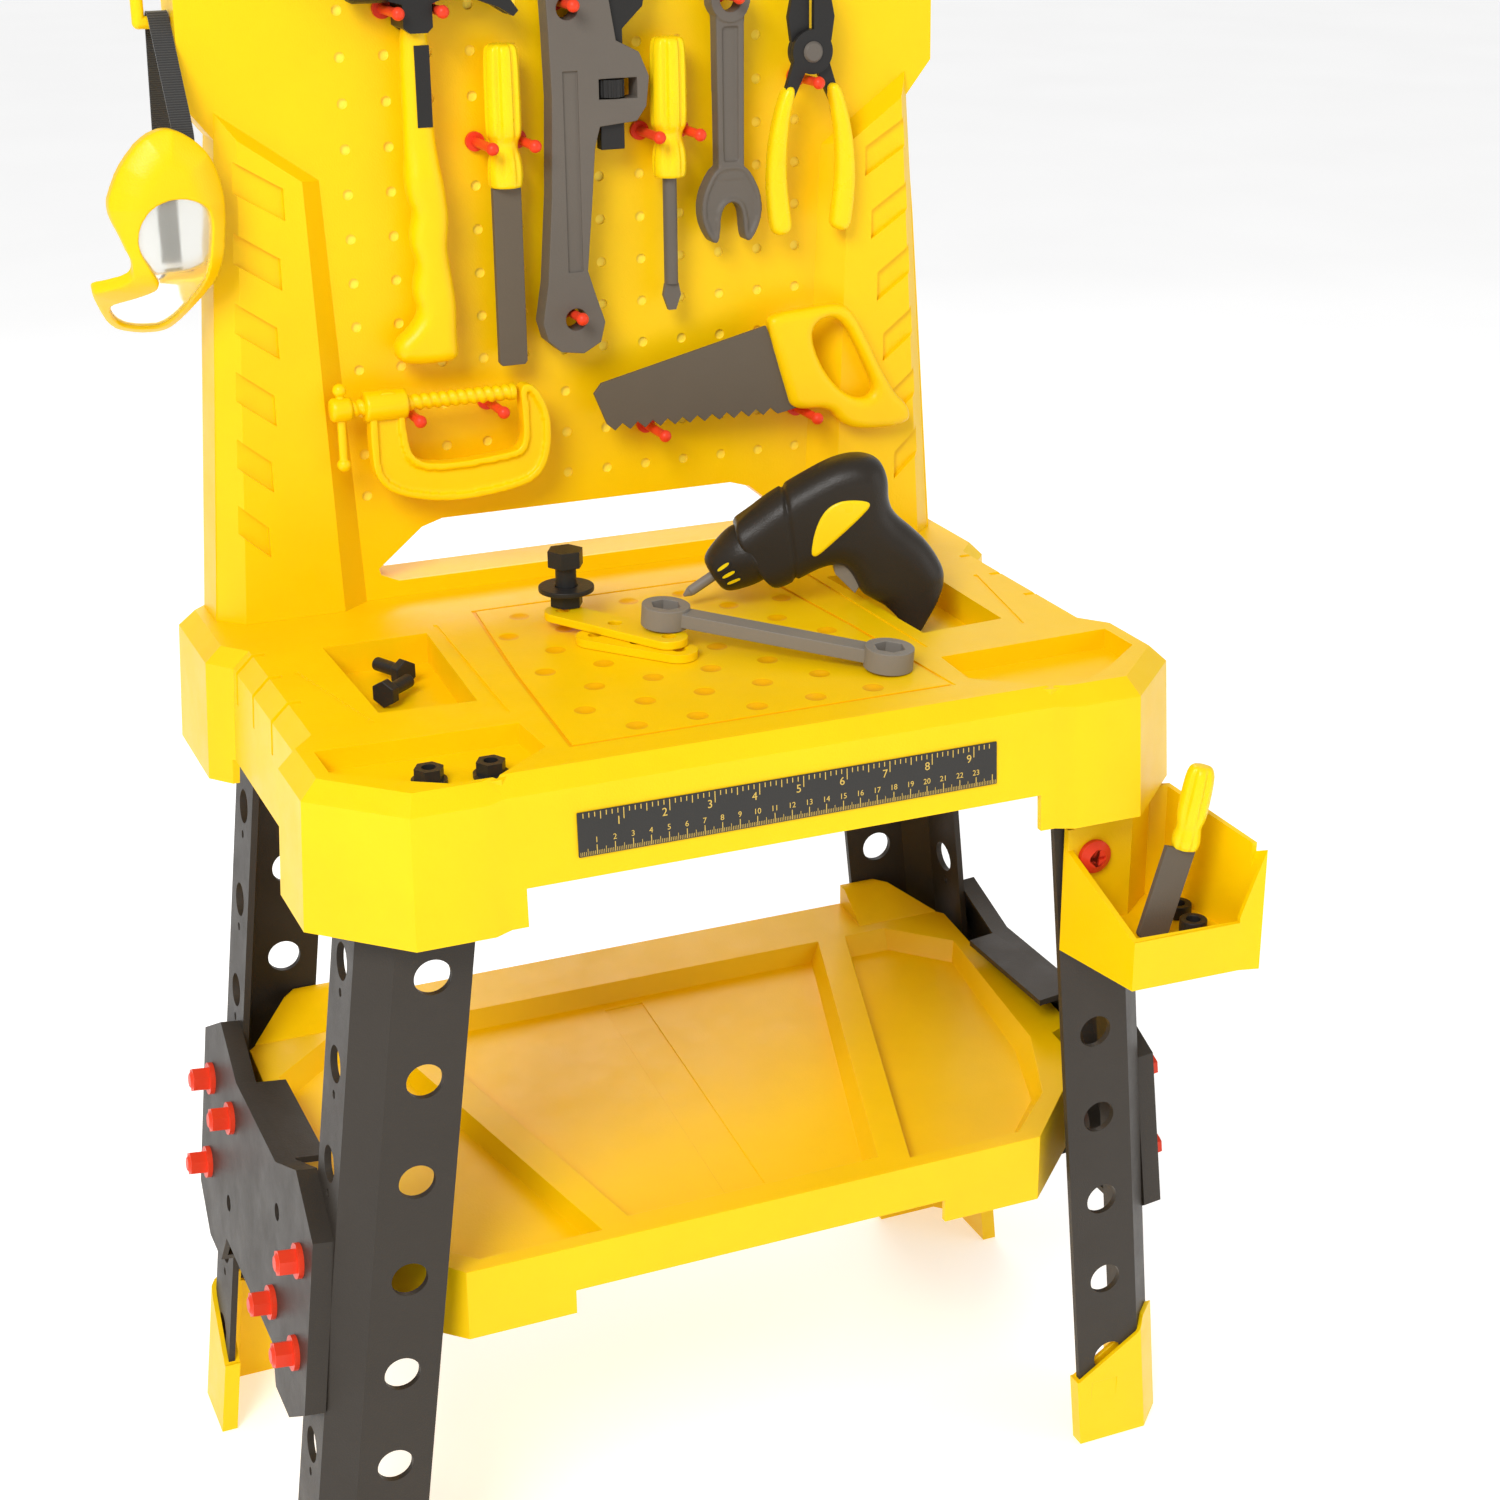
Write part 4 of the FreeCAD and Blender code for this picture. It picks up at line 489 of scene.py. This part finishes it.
def edge_distance(places, loops):
    """Distance of each flat place to the nearest side of the outlines."""
    nearest = np.full(len(places), np.inf)
    for points in loops:
        for start, end in zip(points, points[1:] + points[:1]):
            run = np.subtract(end, start)
            share = np.clip((places - start) @ run / max(run @ run, 1e-9), 0, 1)
            nearest = np.minimum(nearest, np.linalg.norm(places - start - share[:, None] * run, axis=1))
    return nearest


def crown(reach, rim=0.35):
    """Thickness that rises from a rim to full in a quarter circle over a reach from the edge."""
    return lambda near: rim + (1 - rim) * np.sqrt(1 - (1 - np.minimum(near / reach, 1)) ** 2)


def ribbed_edge(width, web):
    """A raised rim along every edge round a thinner web."""
    return lambda near: np.where(near < width, 1.0, web)


def moulding(loops, half, thickness, voxel=1.3, passes=4, slim=None, edges=None):
    """Moulded solid of flat outlines whose thickness follows the distance to its edge."""
    mesh = reworked(flat_mesh(loops, -half, half), [voxels(voxel)])
    places = vertices(mesh)
    places[:, 2] *= thickness(edge_distance(places[:, :2], edges or loops))
    if slim:
        places[:, 2] *= slim(places)
    mesh.vertices.foreach_set("co", places.ravel())
    return reworked(mesh, [voxels(voxel * 0.8), smoothing(passes)])


def turned(rings, steps=72, flutes=0):
    """Solid of revolution from (height, radius) rings, or (height, radius, flute depth) ones."""
    rows = []
    for height, radius, *flute in rings:
        row = []
        for step in range(steps):
            angle = 2 * math.pi * step / steps
            reach = radius - flute[0] * max(math.cos(flutes * angle), 0) ** 1.5 if flutes else radius
            row.append((reach * math.cos(angle), reach * math.sin(angle), height))
        rows.append(row)
    return skinned(rows)


def threaded_rod(start, end, radius, depth, pitch):
    """Rod with a helical thread along X."""
    around, rows_in_pitch = 28, 10
    count = int((end - start) / pitch * rows_in_pitch)
    rows = []
    for row in range(count + 1):
        x = start + (end - start) * row / count
        ring = []
        for step in range(around):
            angle = 2 * math.pi * step / around
            wave = math.cos(2 * math.pi * x / pitch - angle)
            reach = radius - depth * (0.5 - 0.5 * wave) ** 1.4
            ring.append((x, reach * math.cos(angle), reach * math.sin(angle)))
        rows.append(ring)
    return skinned(rows)


# --- hung tools ---------------------------------------------------------------------------------------

HAMMER_HANDLE = [
    (-110.5, 888), (-110.5, 806), (-112, 796), (-110.5, 784), (-107, 775), (-110.5, 765), (-110, 756),
    (-106.5, 746), (-110, 736), (-110, 728), (-107, 719), (-113, 710), (-122.5, 703), (-123.5, 694),
    (-117, 688.5), (-90, 688.3), (-85.5, 692), (-86.5, 704), (-85.5, 722), (-88, 742), (-90, 756),
    (-87.5, 770), (-89, 788), (-92, 806), (-94, 830), (-94, 888)]
HAMMER_LABEL = rectangle(-104.2, 824, -95.4, 869)
HAMMER_FRONT = 7.3    # from the middle of the handle to the label on its neck


def slim_neck(places):
    """The hammer's handle is thinner above its grip."""
    return np.interp(places[:, 1], [796, 812], [1.0, 0.74])


def hammer_handle():
    y = working("hammer_handle").y
    mesh = moulding([softened(HAMMER_HANDLE)], 10, crown(8, 0.3), slim=slim_neck, passes=5)
    piece = add_piece("hammer_grip_moulding", mesh, YELLOW, upright_at(y))
    stand_for(piece, "hammer", "yellow_plastic", "hammer_handle")
    label = add_piece("hammer_blank_label", flat_mesh([HAMMER_LABEL], -0.4, 0.4), BLACK,
                      upright_at(y - HAMMER_FRONT))
    stand_for(label, "hammer", "black_plastic")


def fluted_handle(node, body, radius):
    """Handle with a fluted grip, a thin waist and a flared collar, along its CAD node."""
    low, high = working_box(node)
    # Share of the height, radius and flute depth, from the collar to the end of the grip.
    profile = [
        (0, 8.8, 0), (0.01, 9.8, 0.3), (0.1, 10.4, 1.0), (0.2, 9.8, 1.0), (0.25, 8.4, 0.5), (0.28, 7.8, 0),
        (0.325, 8.0, 0), (0.355, 9.6, 0.4), (0.38, radius - 0.2, 1.0), (0.42, radius, 2.0),
        (0.6, radius, 2.2), (0.8, radius - 0.1, 2.2), (0.93, radius - 0.4, 2.0), (0.97, radius - 1, 1.6),
        (0.992, radius - 2.4, 0.9), (1, radius - 4.6, 0)]
    rings = [(low.z + share * (high.z - low.z), reach, depth) for share, reach, depth in profile]
    mesh = reworked(turned(rings, 96, flutes=6), [SUBDIVISION])
    middle = (low + high) / 2
    piece = add_piece(node + "_moulding", mesh, YELLOW_TOOL, Matrix.Translation((middle.x, middle.y, 0)))
    stand_for(piece, body, "yellow_plastic", node)


def combination_wrench():
    """Ring at the top, channelled shank and open jaws, run together."""
    place = working("combination_wrench")
    x, eye = place.x, 885.05
    ring = flat_mesh([disc(x, eye, 12.4), disc(x, eye, 6.6)], -6.4, 6.4)
    ring_step = flat_mesh([disc(x, eye, 10.6), disc(x, eye, 6.6)], -5.4, 5.4)
    sides = [(x - 9, 876), (x + 9, 876), (x + 8.2, 782), (x - 8.2, 782)]
    web = [(x - 5, 870), (x + 5, 870), (x + 4.6, 792), (x - 4.6, 792)]
    shank = flat_mesh([sides, web], -5.2, 5.2)
    floor = flat_mesh([sides], -3.2, 3.2)
    half_jaws = [(8.2, 790), (14, 783), (19.5, 771), (19.5, 757), (12.5, 743.5), (8, 745), (7.2, 764)]
    jaw_edge = softened([(x - a, b) for a, b in half_jaws] + [(x, 769.5)]
                        + [(x + a, b) for a, b in reversed(half_jaws)])
    jaws = moulding([jaw_edge], 6.4, ribbed_edge(2.6, 0.72), voxel=0.9, passes=2)
    mesh = reworked(joined([ring, ring_step, shank, floor, jaws]), [voxels(0.8), smoothing(3)])
    piece = add_piece("combination_wrench_moulding", mesh, GREY, upright_at(place.y))
    stand_for(piece, "open_ring_wrench", "grey_plastic", "combination_wrench")


# Outline of a plier grip from the pin, on the right-hand side.
PLIERS_GRIP = [
    (10, -20), (14, -34), (16.5, -52), (17, -74), (14, -96), (13.2, -103), (17, -107), (24, -107.3),
    (27, -101), (29.3, -76), (27.6, -52), (23, -32), (17.5, -18)]


def pliers_grips():
    pin = working("pliers_pin")
    for side, body, node in ((-1, "pliers", "pliers_grip_left"), (1, "pliers_moving", "pliers_grip_right")):
        edge = softened([(pin.x + side * a, pin.z + b) for a, b in PLIERS_GRIP])
        mesh = moulding([edge], 5.7, crown(4.6), voxel=1.0, passes=3)
        piece = add_piece(node + "_moulding", mesh, YELLOW_TOOL, upright_at(working(node).y))
        stand_for(piece, body, "yellow_plastic", node)


CLAMP_FRAME = [
    (-142.5, 676), (-143.5, 640), (-141, 623), (-129, 612.5), (-96, 605), (-52, 609), (-38, 617),
    (-32.3, 634), (-33, 655), (-42, 672), (-51.5, 672), (-50, 655), (-50, 634), (-60, 631.5), (-96, 629),
    (-117, 632), (-122, 647), (-121, 676)]
CLAMP_NUT = [(-145.2, 7.6), (-144.6, 8.8), (-143, 9), (-122, 9), (-120.6, 8.8), (-120, 7.6)]
CLAMP_SCREW_LEVEL = 667.3


def clamp_frame():
    """Ribbed C-shaped frame, with a round nut where the screw goes through."""
    y = working("clamp_frame").y
    arm = moulding([softened(CLAMP_FRAME)], 5.4, ribbed_edge(4.2, 0.5), voxel=0.9, passes=3)
    arm.transform(upright_at(y))
    nut = turned(CLAMP_NUT)
    nut.transform(Matrix.Translation((0, y, CLAMP_SCREW_LEVEL)) @ ALONG_X)
    piece = add_piece("clamp_frame_moulding", joined([arm, nut]), YELLOW)
    stand_for(piece, "clamp", "yellow_plastic", "clamp_frame")


def clamp_screw():
    """Threaded screw between its head on the left and its pad on the right."""
    low, high = working_box("clamp_screw")
    left, right = low.x, high.x
    middle = Matrix.Translation((0, (low.y + high.y) / 2, (low.z + high.z) / 2))
    thread = threaded_rod(left + 12, right - 3, radius=5, depth=1.1, pitch=5.5)
    thread.transform(middle)
    head = turned([(left, 5.6), (left + 1, 6.8), (left + 3, 7), (left + 10, 7), (left + 12, 6.2)])
    pad = turned([(right - 4, 4.4), (right - 3, 5), (right - 0.6, 5), (right, 4.4)])
    for mesh in (head, pad):
        mesh.transform(middle @ ALONG_X)
    piece = add_piece("clamp_screw_thread", joined([thread, head, pad]), YELLOW)
    stand_for(piece, "clamp_spindle", "yellow_plastic", "clamp_screw")


SAW_HANDLE = [
    (109, 693), (113, 699), (140, 701), (161, 702), (170, 692), (194, 644), (207.5, 632), (208, 620),
    (174, 620), (160, 625), (151, 637.5), (126, 637.5), (122, 650)]
SAW_GRIP_HOLE = [(136, 690), (158, 696), (175, 664), (185, 641), (167, 640), (147, 659)]


def saw_handle():
    mesh = moulding([softened(SAW_HANDLE), softened(SAW_GRIP_HOLE)], 6, crown(6, 0.3), voxel=1.1)
    piece = add_piece("saw_handle_moulding", mesh, YELLOW, upright_at(working("saw_handle").y))
    stand_for(piece, "saw", "yellow_plastic", "saw_handle")


# --- file in the bin ----------------------------------------------------------------------------------

# Share of the length, radius and flute depth, from the end at the blade.
FILE_GRIP = [
    (0, 6.6, 0.2), (0.03, 7.8, 0.8), (0.13, 8.6, 1.0), (0.24, 7.2, 0.4), (0.3, 7.0, 0.2), (0.36, 8.4, 0.8),
    (0.5, 8.8, 1.5), (0.75, 8.7, 1.6), (0.92, 8.1, 1.3), (0.98, 6.4, 0.6), (1, 4.6, 0.2)]


def mean(points):
    return sum(points, Vector()) / len(points)


def file_handle():
    """Fluted handle of the file that leans in the bin, along the axis of its CAD grip."""
    grip = nodes["bin_file_handle"]
    points = [grip.matrix_world @ vertex.co * 1000 for vertex in grip.data.vertices]
    middle = mean(points)
    upper = mean([point for point in points if point.z > middle.z])
    lower = mean([point for point in points if point.z <= middle.z])
    axis = (upper - lower).normalized()
    ends = [pick(points, key=lambda point: point.z) for pick in (min, max)]
    low, high = sorted((end - middle).dot(axis) for end in ends)
    rings = [(low + share * (high - low), radius, depth) for share, radius, depth in FILE_GRIP]
    mesh = reworked(turned(rings, flutes=6), [SUBDIVISION])
    piece = add_piece("file_grip_moulding", mesh, YELLOW_TOOL,
                      Matrix.Translation(middle + ORIGIN) @ facing(axis))
    stand_for(piece, "file", "yellow_plastic", "bin_file_handle")


# --- toy drill ----------------------------------------------------------------------------------------

# The drill lies turned a little towards the panel; its outlines run along its length and up.
DRILL_PLACE = Matrix.Translation((90.0, 198.5, 0)) @ Matrix.Rotation(math.radians(-18.54), 4, "Z") @ UPRIGHT
DRILL_TOP = [
    (-30, 601), (-20, 609), (-7, 617), (8, 625.5), (22, 632.5), (37, 635), (49, 631), (54, 620), (54, 607),
    (58, 597), (70, 587), (80, 577), (88.5, 563), (88.5, 555)]
DRILL_UNDER = [(46, 545), (38, 549.5), (33, 561), (27, 568), (19, 567.5), (11, 565), (-2, 558), (-12, 553.5)]
DRILL_SHELL = ([(-41, 592)] + DRILL_TOP
               + [(83, 545), (76.5, 533), (73, 526.5), (69, 524.5), (65, 528), (58, 538)]
               + DRILL_UNDER + [(-20, 560.5)])
# The same outline carried on past both ends, so that the housing stays thick up to them.
DRILL_BEYOND = ([(-56, 585)] + DRILL_TOP + [(94, 540), (90, 505), (60, 500), (56, 539)]
                + DRILL_UNDER + [(-34, 550)])
DRILL_INLAY = [(6, 573), (7.5, 590), (13, 604), (22, 611), (35, 611.5), (43.5, 609), (37, 601), (23, 588)]
DRILL_MIDDLE = 586
GROOVE_TOP, GROOVE_FOOT = (-8.5, 616), (-1.5, 559)
GROOVE_WIDTH, GROOVE_DEPTH = 1.3, 0.07
NOSE_FOOT = Matrix.Translation((-30.1, 575.3, 0))
NOSE_CONE = [
    (-5, 17.5), (-4, 18.4), (0, 19.2), (6, 18.4), (12, 16.8), (18, 14.8), (22, 12.8), (24, 10), (24.3, 6),
    (20, 4.2)]


def drill_housing():
    """Both half shells as one rounded housing, with a groove behind the nose."""
    (a, b), (c, d) = GROOVE_TOP, GROOVE_FOOT
    run = Vector((c - a, d - b)).normalized()
    mesh = moulding([softened(DRILL_SHELL)], 18, crown(15, 0.16), passes=5, edges=[softened(DRILL_BEYOND)])
    places = vertices(mesh)
    off = np.abs((places[:, 0] - a) * run.y - (places[:, 1] - b) * run.x)
    depth = GROOVE_DEPTH * np.exp(-(off / GROOVE_WIDTH) ** 2)
    places[:, 1] += (DRILL_MIDDLE - places[:, 1]) * depth
    places[:, 2] *= 1 - depth
    mesh.vertices.foreach_set("co", places.ravel())
    piece = add_piece("drill_housing", mesh, DRILL, DRILL_PLACE)
    stand_for(piece, "drill", "dark_plastic", "drill_shell_left", "drill_shell_right")


def drill_nose():
    mesh = reworked(turned(NOSE_CONE, 64), [SUBDIVISION])
    place = DRILL_PLACE @ NOSE_FOOT @ facing(Vector((-0.83, -0.56, 0)))
    piece = add_piece("drill_nose_cone", mesh, DRILL, place)
    stand_for(piece, "drill_nose", "black_plastic", "drill_chuck")


def drill_inlays():
    """A domed blank plate on each side of the housing."""
    plates = []
    for depth in (-16.8, 16.8):
        plate = moulding([softened(DRILL_INLAY, 3)], 2.2, crown(2.2, 0.4), voxel=0.9, passes=2)
        plate.transform(Matrix.Translation((0, 0, depth)))
        plates.append(plate)
    piece = add_piece("drill_side_inlays", joined(plates), YELLOW_TOOL, DRILL_PLACE)
    stand_for(piece, "drill", "yellow_plastic", "drill_inlays")


def drill_vents():
    """Rimmed vent slots, three on each side of the nose cone, that lean with its slope."""
    turn = NOSE_FOOT @ Matrix.Rotation(math.radians(34), 4, "Z")
    slope = Matrix.Rotation(math.radians(-18), 4, "Y")
    for name, material, slot, long, wide, out in (
            ("drill_vent_rims", BLACK, "black_plastic", 5.4, 2.2, 15.6),
            ("drill_nose_vents", YELLOW_TOOL, "yellow_plastic", 4.4, 1.0, 15.9)):
        bars = []
        for around in (-20, 0, 20, 160, 180, 200):
            bar = flat_mesh([softened(rectangle(-long, -wide, long, wide))], -0.9, 0.5)
            axis = Matrix.Rotation(math.radians(around), 4, "X")
            bar.transform(turn @ axis @ Matrix.Translation((-14.5, 0, out)) @ slope)
            bars.append(bar)
        stand_for(add_piece(name, joined(bars), material, DRILL_PLACE), "drill_nose", slot)


# --- goggles ------------------------------------------------------------------------------------------

# Outlines across (X) and along the bent front, from the bend at zero: up is positive.
GOGGLE_FRAME = [
    (-244, 79), (-224, 64), (-217, 38), (-221, 10), (-225.5, -14), (-232, -45), (-243, -84), (-261, -85),
    (-277, -78), (-285, -56), (-291.5, -33), (-292, -28), (-286, -22), (-273, -11), (-271.5, 2), (-275.4, 18),
    (-283, 36), (-279, 48), (-273, 60), (-259.8, 75)]
GOGGLE_WINDOW = [
    (-259.6, 38), (-244, 42), (-229, 36), (-227.2, 24.9), (-229.5, 11.5), (-232.5, -12.8), (-244, -74),
    (-261, -77), (-275, -70), (-281.5, -48), (-279, -38), (-268, -28), (-256, -14), (-262, 0), (-268.5, 14),
    (-267.5, 27)]
# Place of the bend in Y and Z, the lean of the part below it, and how far each way it is worked out.
BEND = (270.0, 757.0)
LOWER_LEAN = 58.1
BEND_REACH = 90


def bend_path():
    """Steps of 1 mm along the goggles' profile, with the lean, Y and Z at each."""
    steps = np.linspace(-BEND_REACH, BEND_REACH, 2 * BEND_REACH + 1)
    lean = np.radians(np.interp(steps, [-14, 14], [LOWER_LEAN, 0]))
    down_y, down_z = np.sin(lean), -np.cos(lean)
    y, z = np.zeros(len(steps)), np.zeros(len(steps))
    for index in range(BEND_REACH - 1, -1, -1):
        y[index] = y[index + 1] + down_y[index]
        z[index] = z[index + 1] + down_z[index]
    for index in range(BEND_REACH + 1, len(steps)):
        y[index] = y[index - 1] - down_y[index]
        z[index] = z[index - 1] - down_z[index]
    return steps, lean, y, z


def bent(mesh):
    """Bend a flat moulding of (across, along, depth) round the goggles' profile, which mirrors it."""
    steps, lean, y, z = bend_path()
    places = vertices(mesh)
    along, depth = places[:, 1], places[:, 2]
    # The skirt is shallower below the bend, and the front rolls back near its edge above it.
    depth = np.where(depth > 4, 4 + (depth - 4) * np.interp(along, [-14, 30], [0.25, 1]), depth)
    near = edge_distance(places[:, :2], [GOGGLE_FRAME])
    roll = 8 * (1 - np.minimum(near / 19, 1)) ** 1.8 * np.interp(along, [-20, 30], [0.15, 1])
    bow = 0.0030 * (places[:, 0] + 250) ** 2 + roll * np.interp(depth, [4, 12], [1, 0])
    tilt = np.interp(along, steps, lean)
    out = np.empty_like(places)
    out[:, 0] = places[:, 0]
    out[:, 1] = BEND[0] + np.interp(along, steps, y) + np.cos(tilt) * (depth + bow)
    out[:, 2] = BEND[1] + np.interp(along, steps, z) + np.sin(tilt) * (depth + bow)
    mesh.vertices.foreach_set("co", out.ravel())
    return mesh


def goggles():
    """Frame of a face, a skirt round it and a collar round its window, and a thin clear pane."""
    frame_edge, window = softened(GOGGLE_FRAME, 3), softened(GOGGLE_WINDOW, 3)
    face = flat_mesh([frame_edge, window], 0, 4.2)
    skirt = flat_mesh([frame_edge, inset(frame_edge, 3.2)], 2, 17)
    collar = flat_mesh([inset(window, -3.4), window], 0.6, 6.5)
    shell = reworked(joined([face, skirt, collar]), [voxels(1.0), smoothing(7)])
    shell = reworked(bent(shell), [smoothing(2)])
    # The frame's faces are turned outwards again after the bend. The pane's still face inwards.
    shell.flip_normals()
    stand_for(add_piece("goggle_frame_moulding", shell, YELLOW), "goggles", "yellow_plastic", "goggle_frame")
    pane = bent(reworked(flat_mesh([inset(window, -1.6)], 2.0, 3.8), [voxels(0.8), smoothing(2)]))
    stand_for(add_piece("goggle_pane", pane, PANE), "goggles", "clear_plastic", "goggle_lens")


# Line of the band in Y and Z: up from the frame, over the hook and down behind.
STRAP_PATH = [
    (279.5, 826), (281, 832), (290, 845), (305, 865), (318, 882.5), (321.5, 887), (325, 889.2),
    (328.6, 886.6), (331, 873), (336, 835), (341, 795), (343.5, 770), (344.5, 748)]
# Across the band and through its thickness: a flat middle between thicker woven edges.
STRAP_SECTION = [
    (-5.75, 0.2), (-5.4, 0), (-4.9, 0.15), (4.9, 0.15), (5.4, 0), (5.75, 0.2), (5.75, 1.3), (5.4, 1.5),
    (4.9, 1.35), (-4.9, 1.35), (-5.4, 1.5), (-5.75, 1.3)]
STRAP_X = -237.75


def strap_curve(steps=6):
    """Smooth curve through the points of the band's line."""
    curve, last = [], len(STRAP_PATH) - 1
    for index in range(last):
        a, b, c, d = (Vector(STRAP_PATH[min(max(index + shift, 0), last)]) for shift in (-1, 0, 1, 2))
        for step in range(steps):
            t = step / steps
            curve.append(0.5 * (2 * b + (c - a) * t + (2 * a - 5 * b + 4 * c - d) * t * t
                                + (3 * b - a - 3 * c + d) * t ** 3))
    return curve


def strap():
    """Flat elastic band over the hook."""
    curve, rows = strap_curve(), []
    for index, place in enumerate(curve):
        before, after = curve[max(index - 1, 0)], curve[min(index + 1, len(curve) - 1)]
        run = (after - before).normalized()
        rows.append([(STRAP_X + a, place.x - run.y * b, place.y + run.x * b) for a, b in STRAP_SECTION])
    piece = add_piece("goggle_elastic", skinned(rows), ELASTIC)
    stand_for(piece, "goggles", "elastic_strap", "goggle_strap")


# --- printed rule -------------------------------------------------------------------------------------

RULE_HALF, RULE_HEIGHT, INCH = 121.5, 24.5, 25.4
PRINT_HALF = 0.06
# The strip leans back on the front of the deck.
RULE_PLACE = (Matrix.Translation((0, 2.9, 494)) @ Matrix.Rotation(math.radians(-3.13), 4, "X")
              @ upright_at(-1.24))


def numeral(count, size, x, level):
    """Flat mesh of a number, centred on X and standing on a level."""
    curve = bpy.data.curves.new("numeral", "FONT")
    curve.body = "%d" % count
    curve.size = size
    curve.align_x = "CENTER"
    curve.extrude = PRINT_HALF
    mesh = mesh_of_curve(curve)
    mesh.transform(Matrix.Translation((x, level, 0)))
    return mesh


def tick(x, low, high, half):
    return flat_mesh([rectangle(x - half, low, x + half, high)], -PRINT_HALF, PRINT_HALF)


def ruler_print():
    """Ticks and numbers in inches along the upper edge and in centimetres along the lower one."""
    marks, upper, lower = [], RULE_HEIGHT - 0.6, 0.6
    for step in range(1, 76):
        length = 6.2 if step % 8 == 0 else 4.2 if step % 4 == 0 else 2.6
        marks.append(tick(-RULE_HALF + step * INCH / 8, upper - length, upper, 0.24))
    for step in range(1, 243):
        length = 5.4 if step % 10 == 0 else 3.8 if step % 5 == 0 else 2.2
        marks.append(tick(-RULE_HALF + step, lower, lower + length, 0.13 if step % 10 else 0.22))
    for count in range(1, 10):
        marks.append(numeral(count, 6.4, -RULE_HALF + count * INCH - 2.9, RULE_HEIGHT - 9.4))
    for count in range(1, 24):
        marks.append(numeral(count, 4.4, -RULE_HALF + count * 10, 7.2))
    piece = add_piece("ruler_marks", joined(marks), PRINT, RULE_PLACE)
    piece.data.polygons.foreach_set("use_smooth", [False] * len(piece.data.polygons))
    stand_for(piece, "bench", "ruler_plastic")


def add_details():
    """The moulded pieces that stand for plain CAD solids, and the printed marks."""
    hammer_handle()
    fluted_handle("rasp_handle", "rasp", 10.4)
    fluted_handle("screwdriver_handle", "screwdriver", 10.8)
    combination_wrench()
    pliers_grips()
    file_handle()
    clamp_frame()
    clamp_screw()
    saw_handle()
    drill_housing()
    drill_nose()
    drill_inlays()
    drill_vents()
    goggles()
    strap()
    ruler_print()


add_studio()
for name in nodes:
    finish_node(name)
paint_dimple_light_and_shade()
add_details()
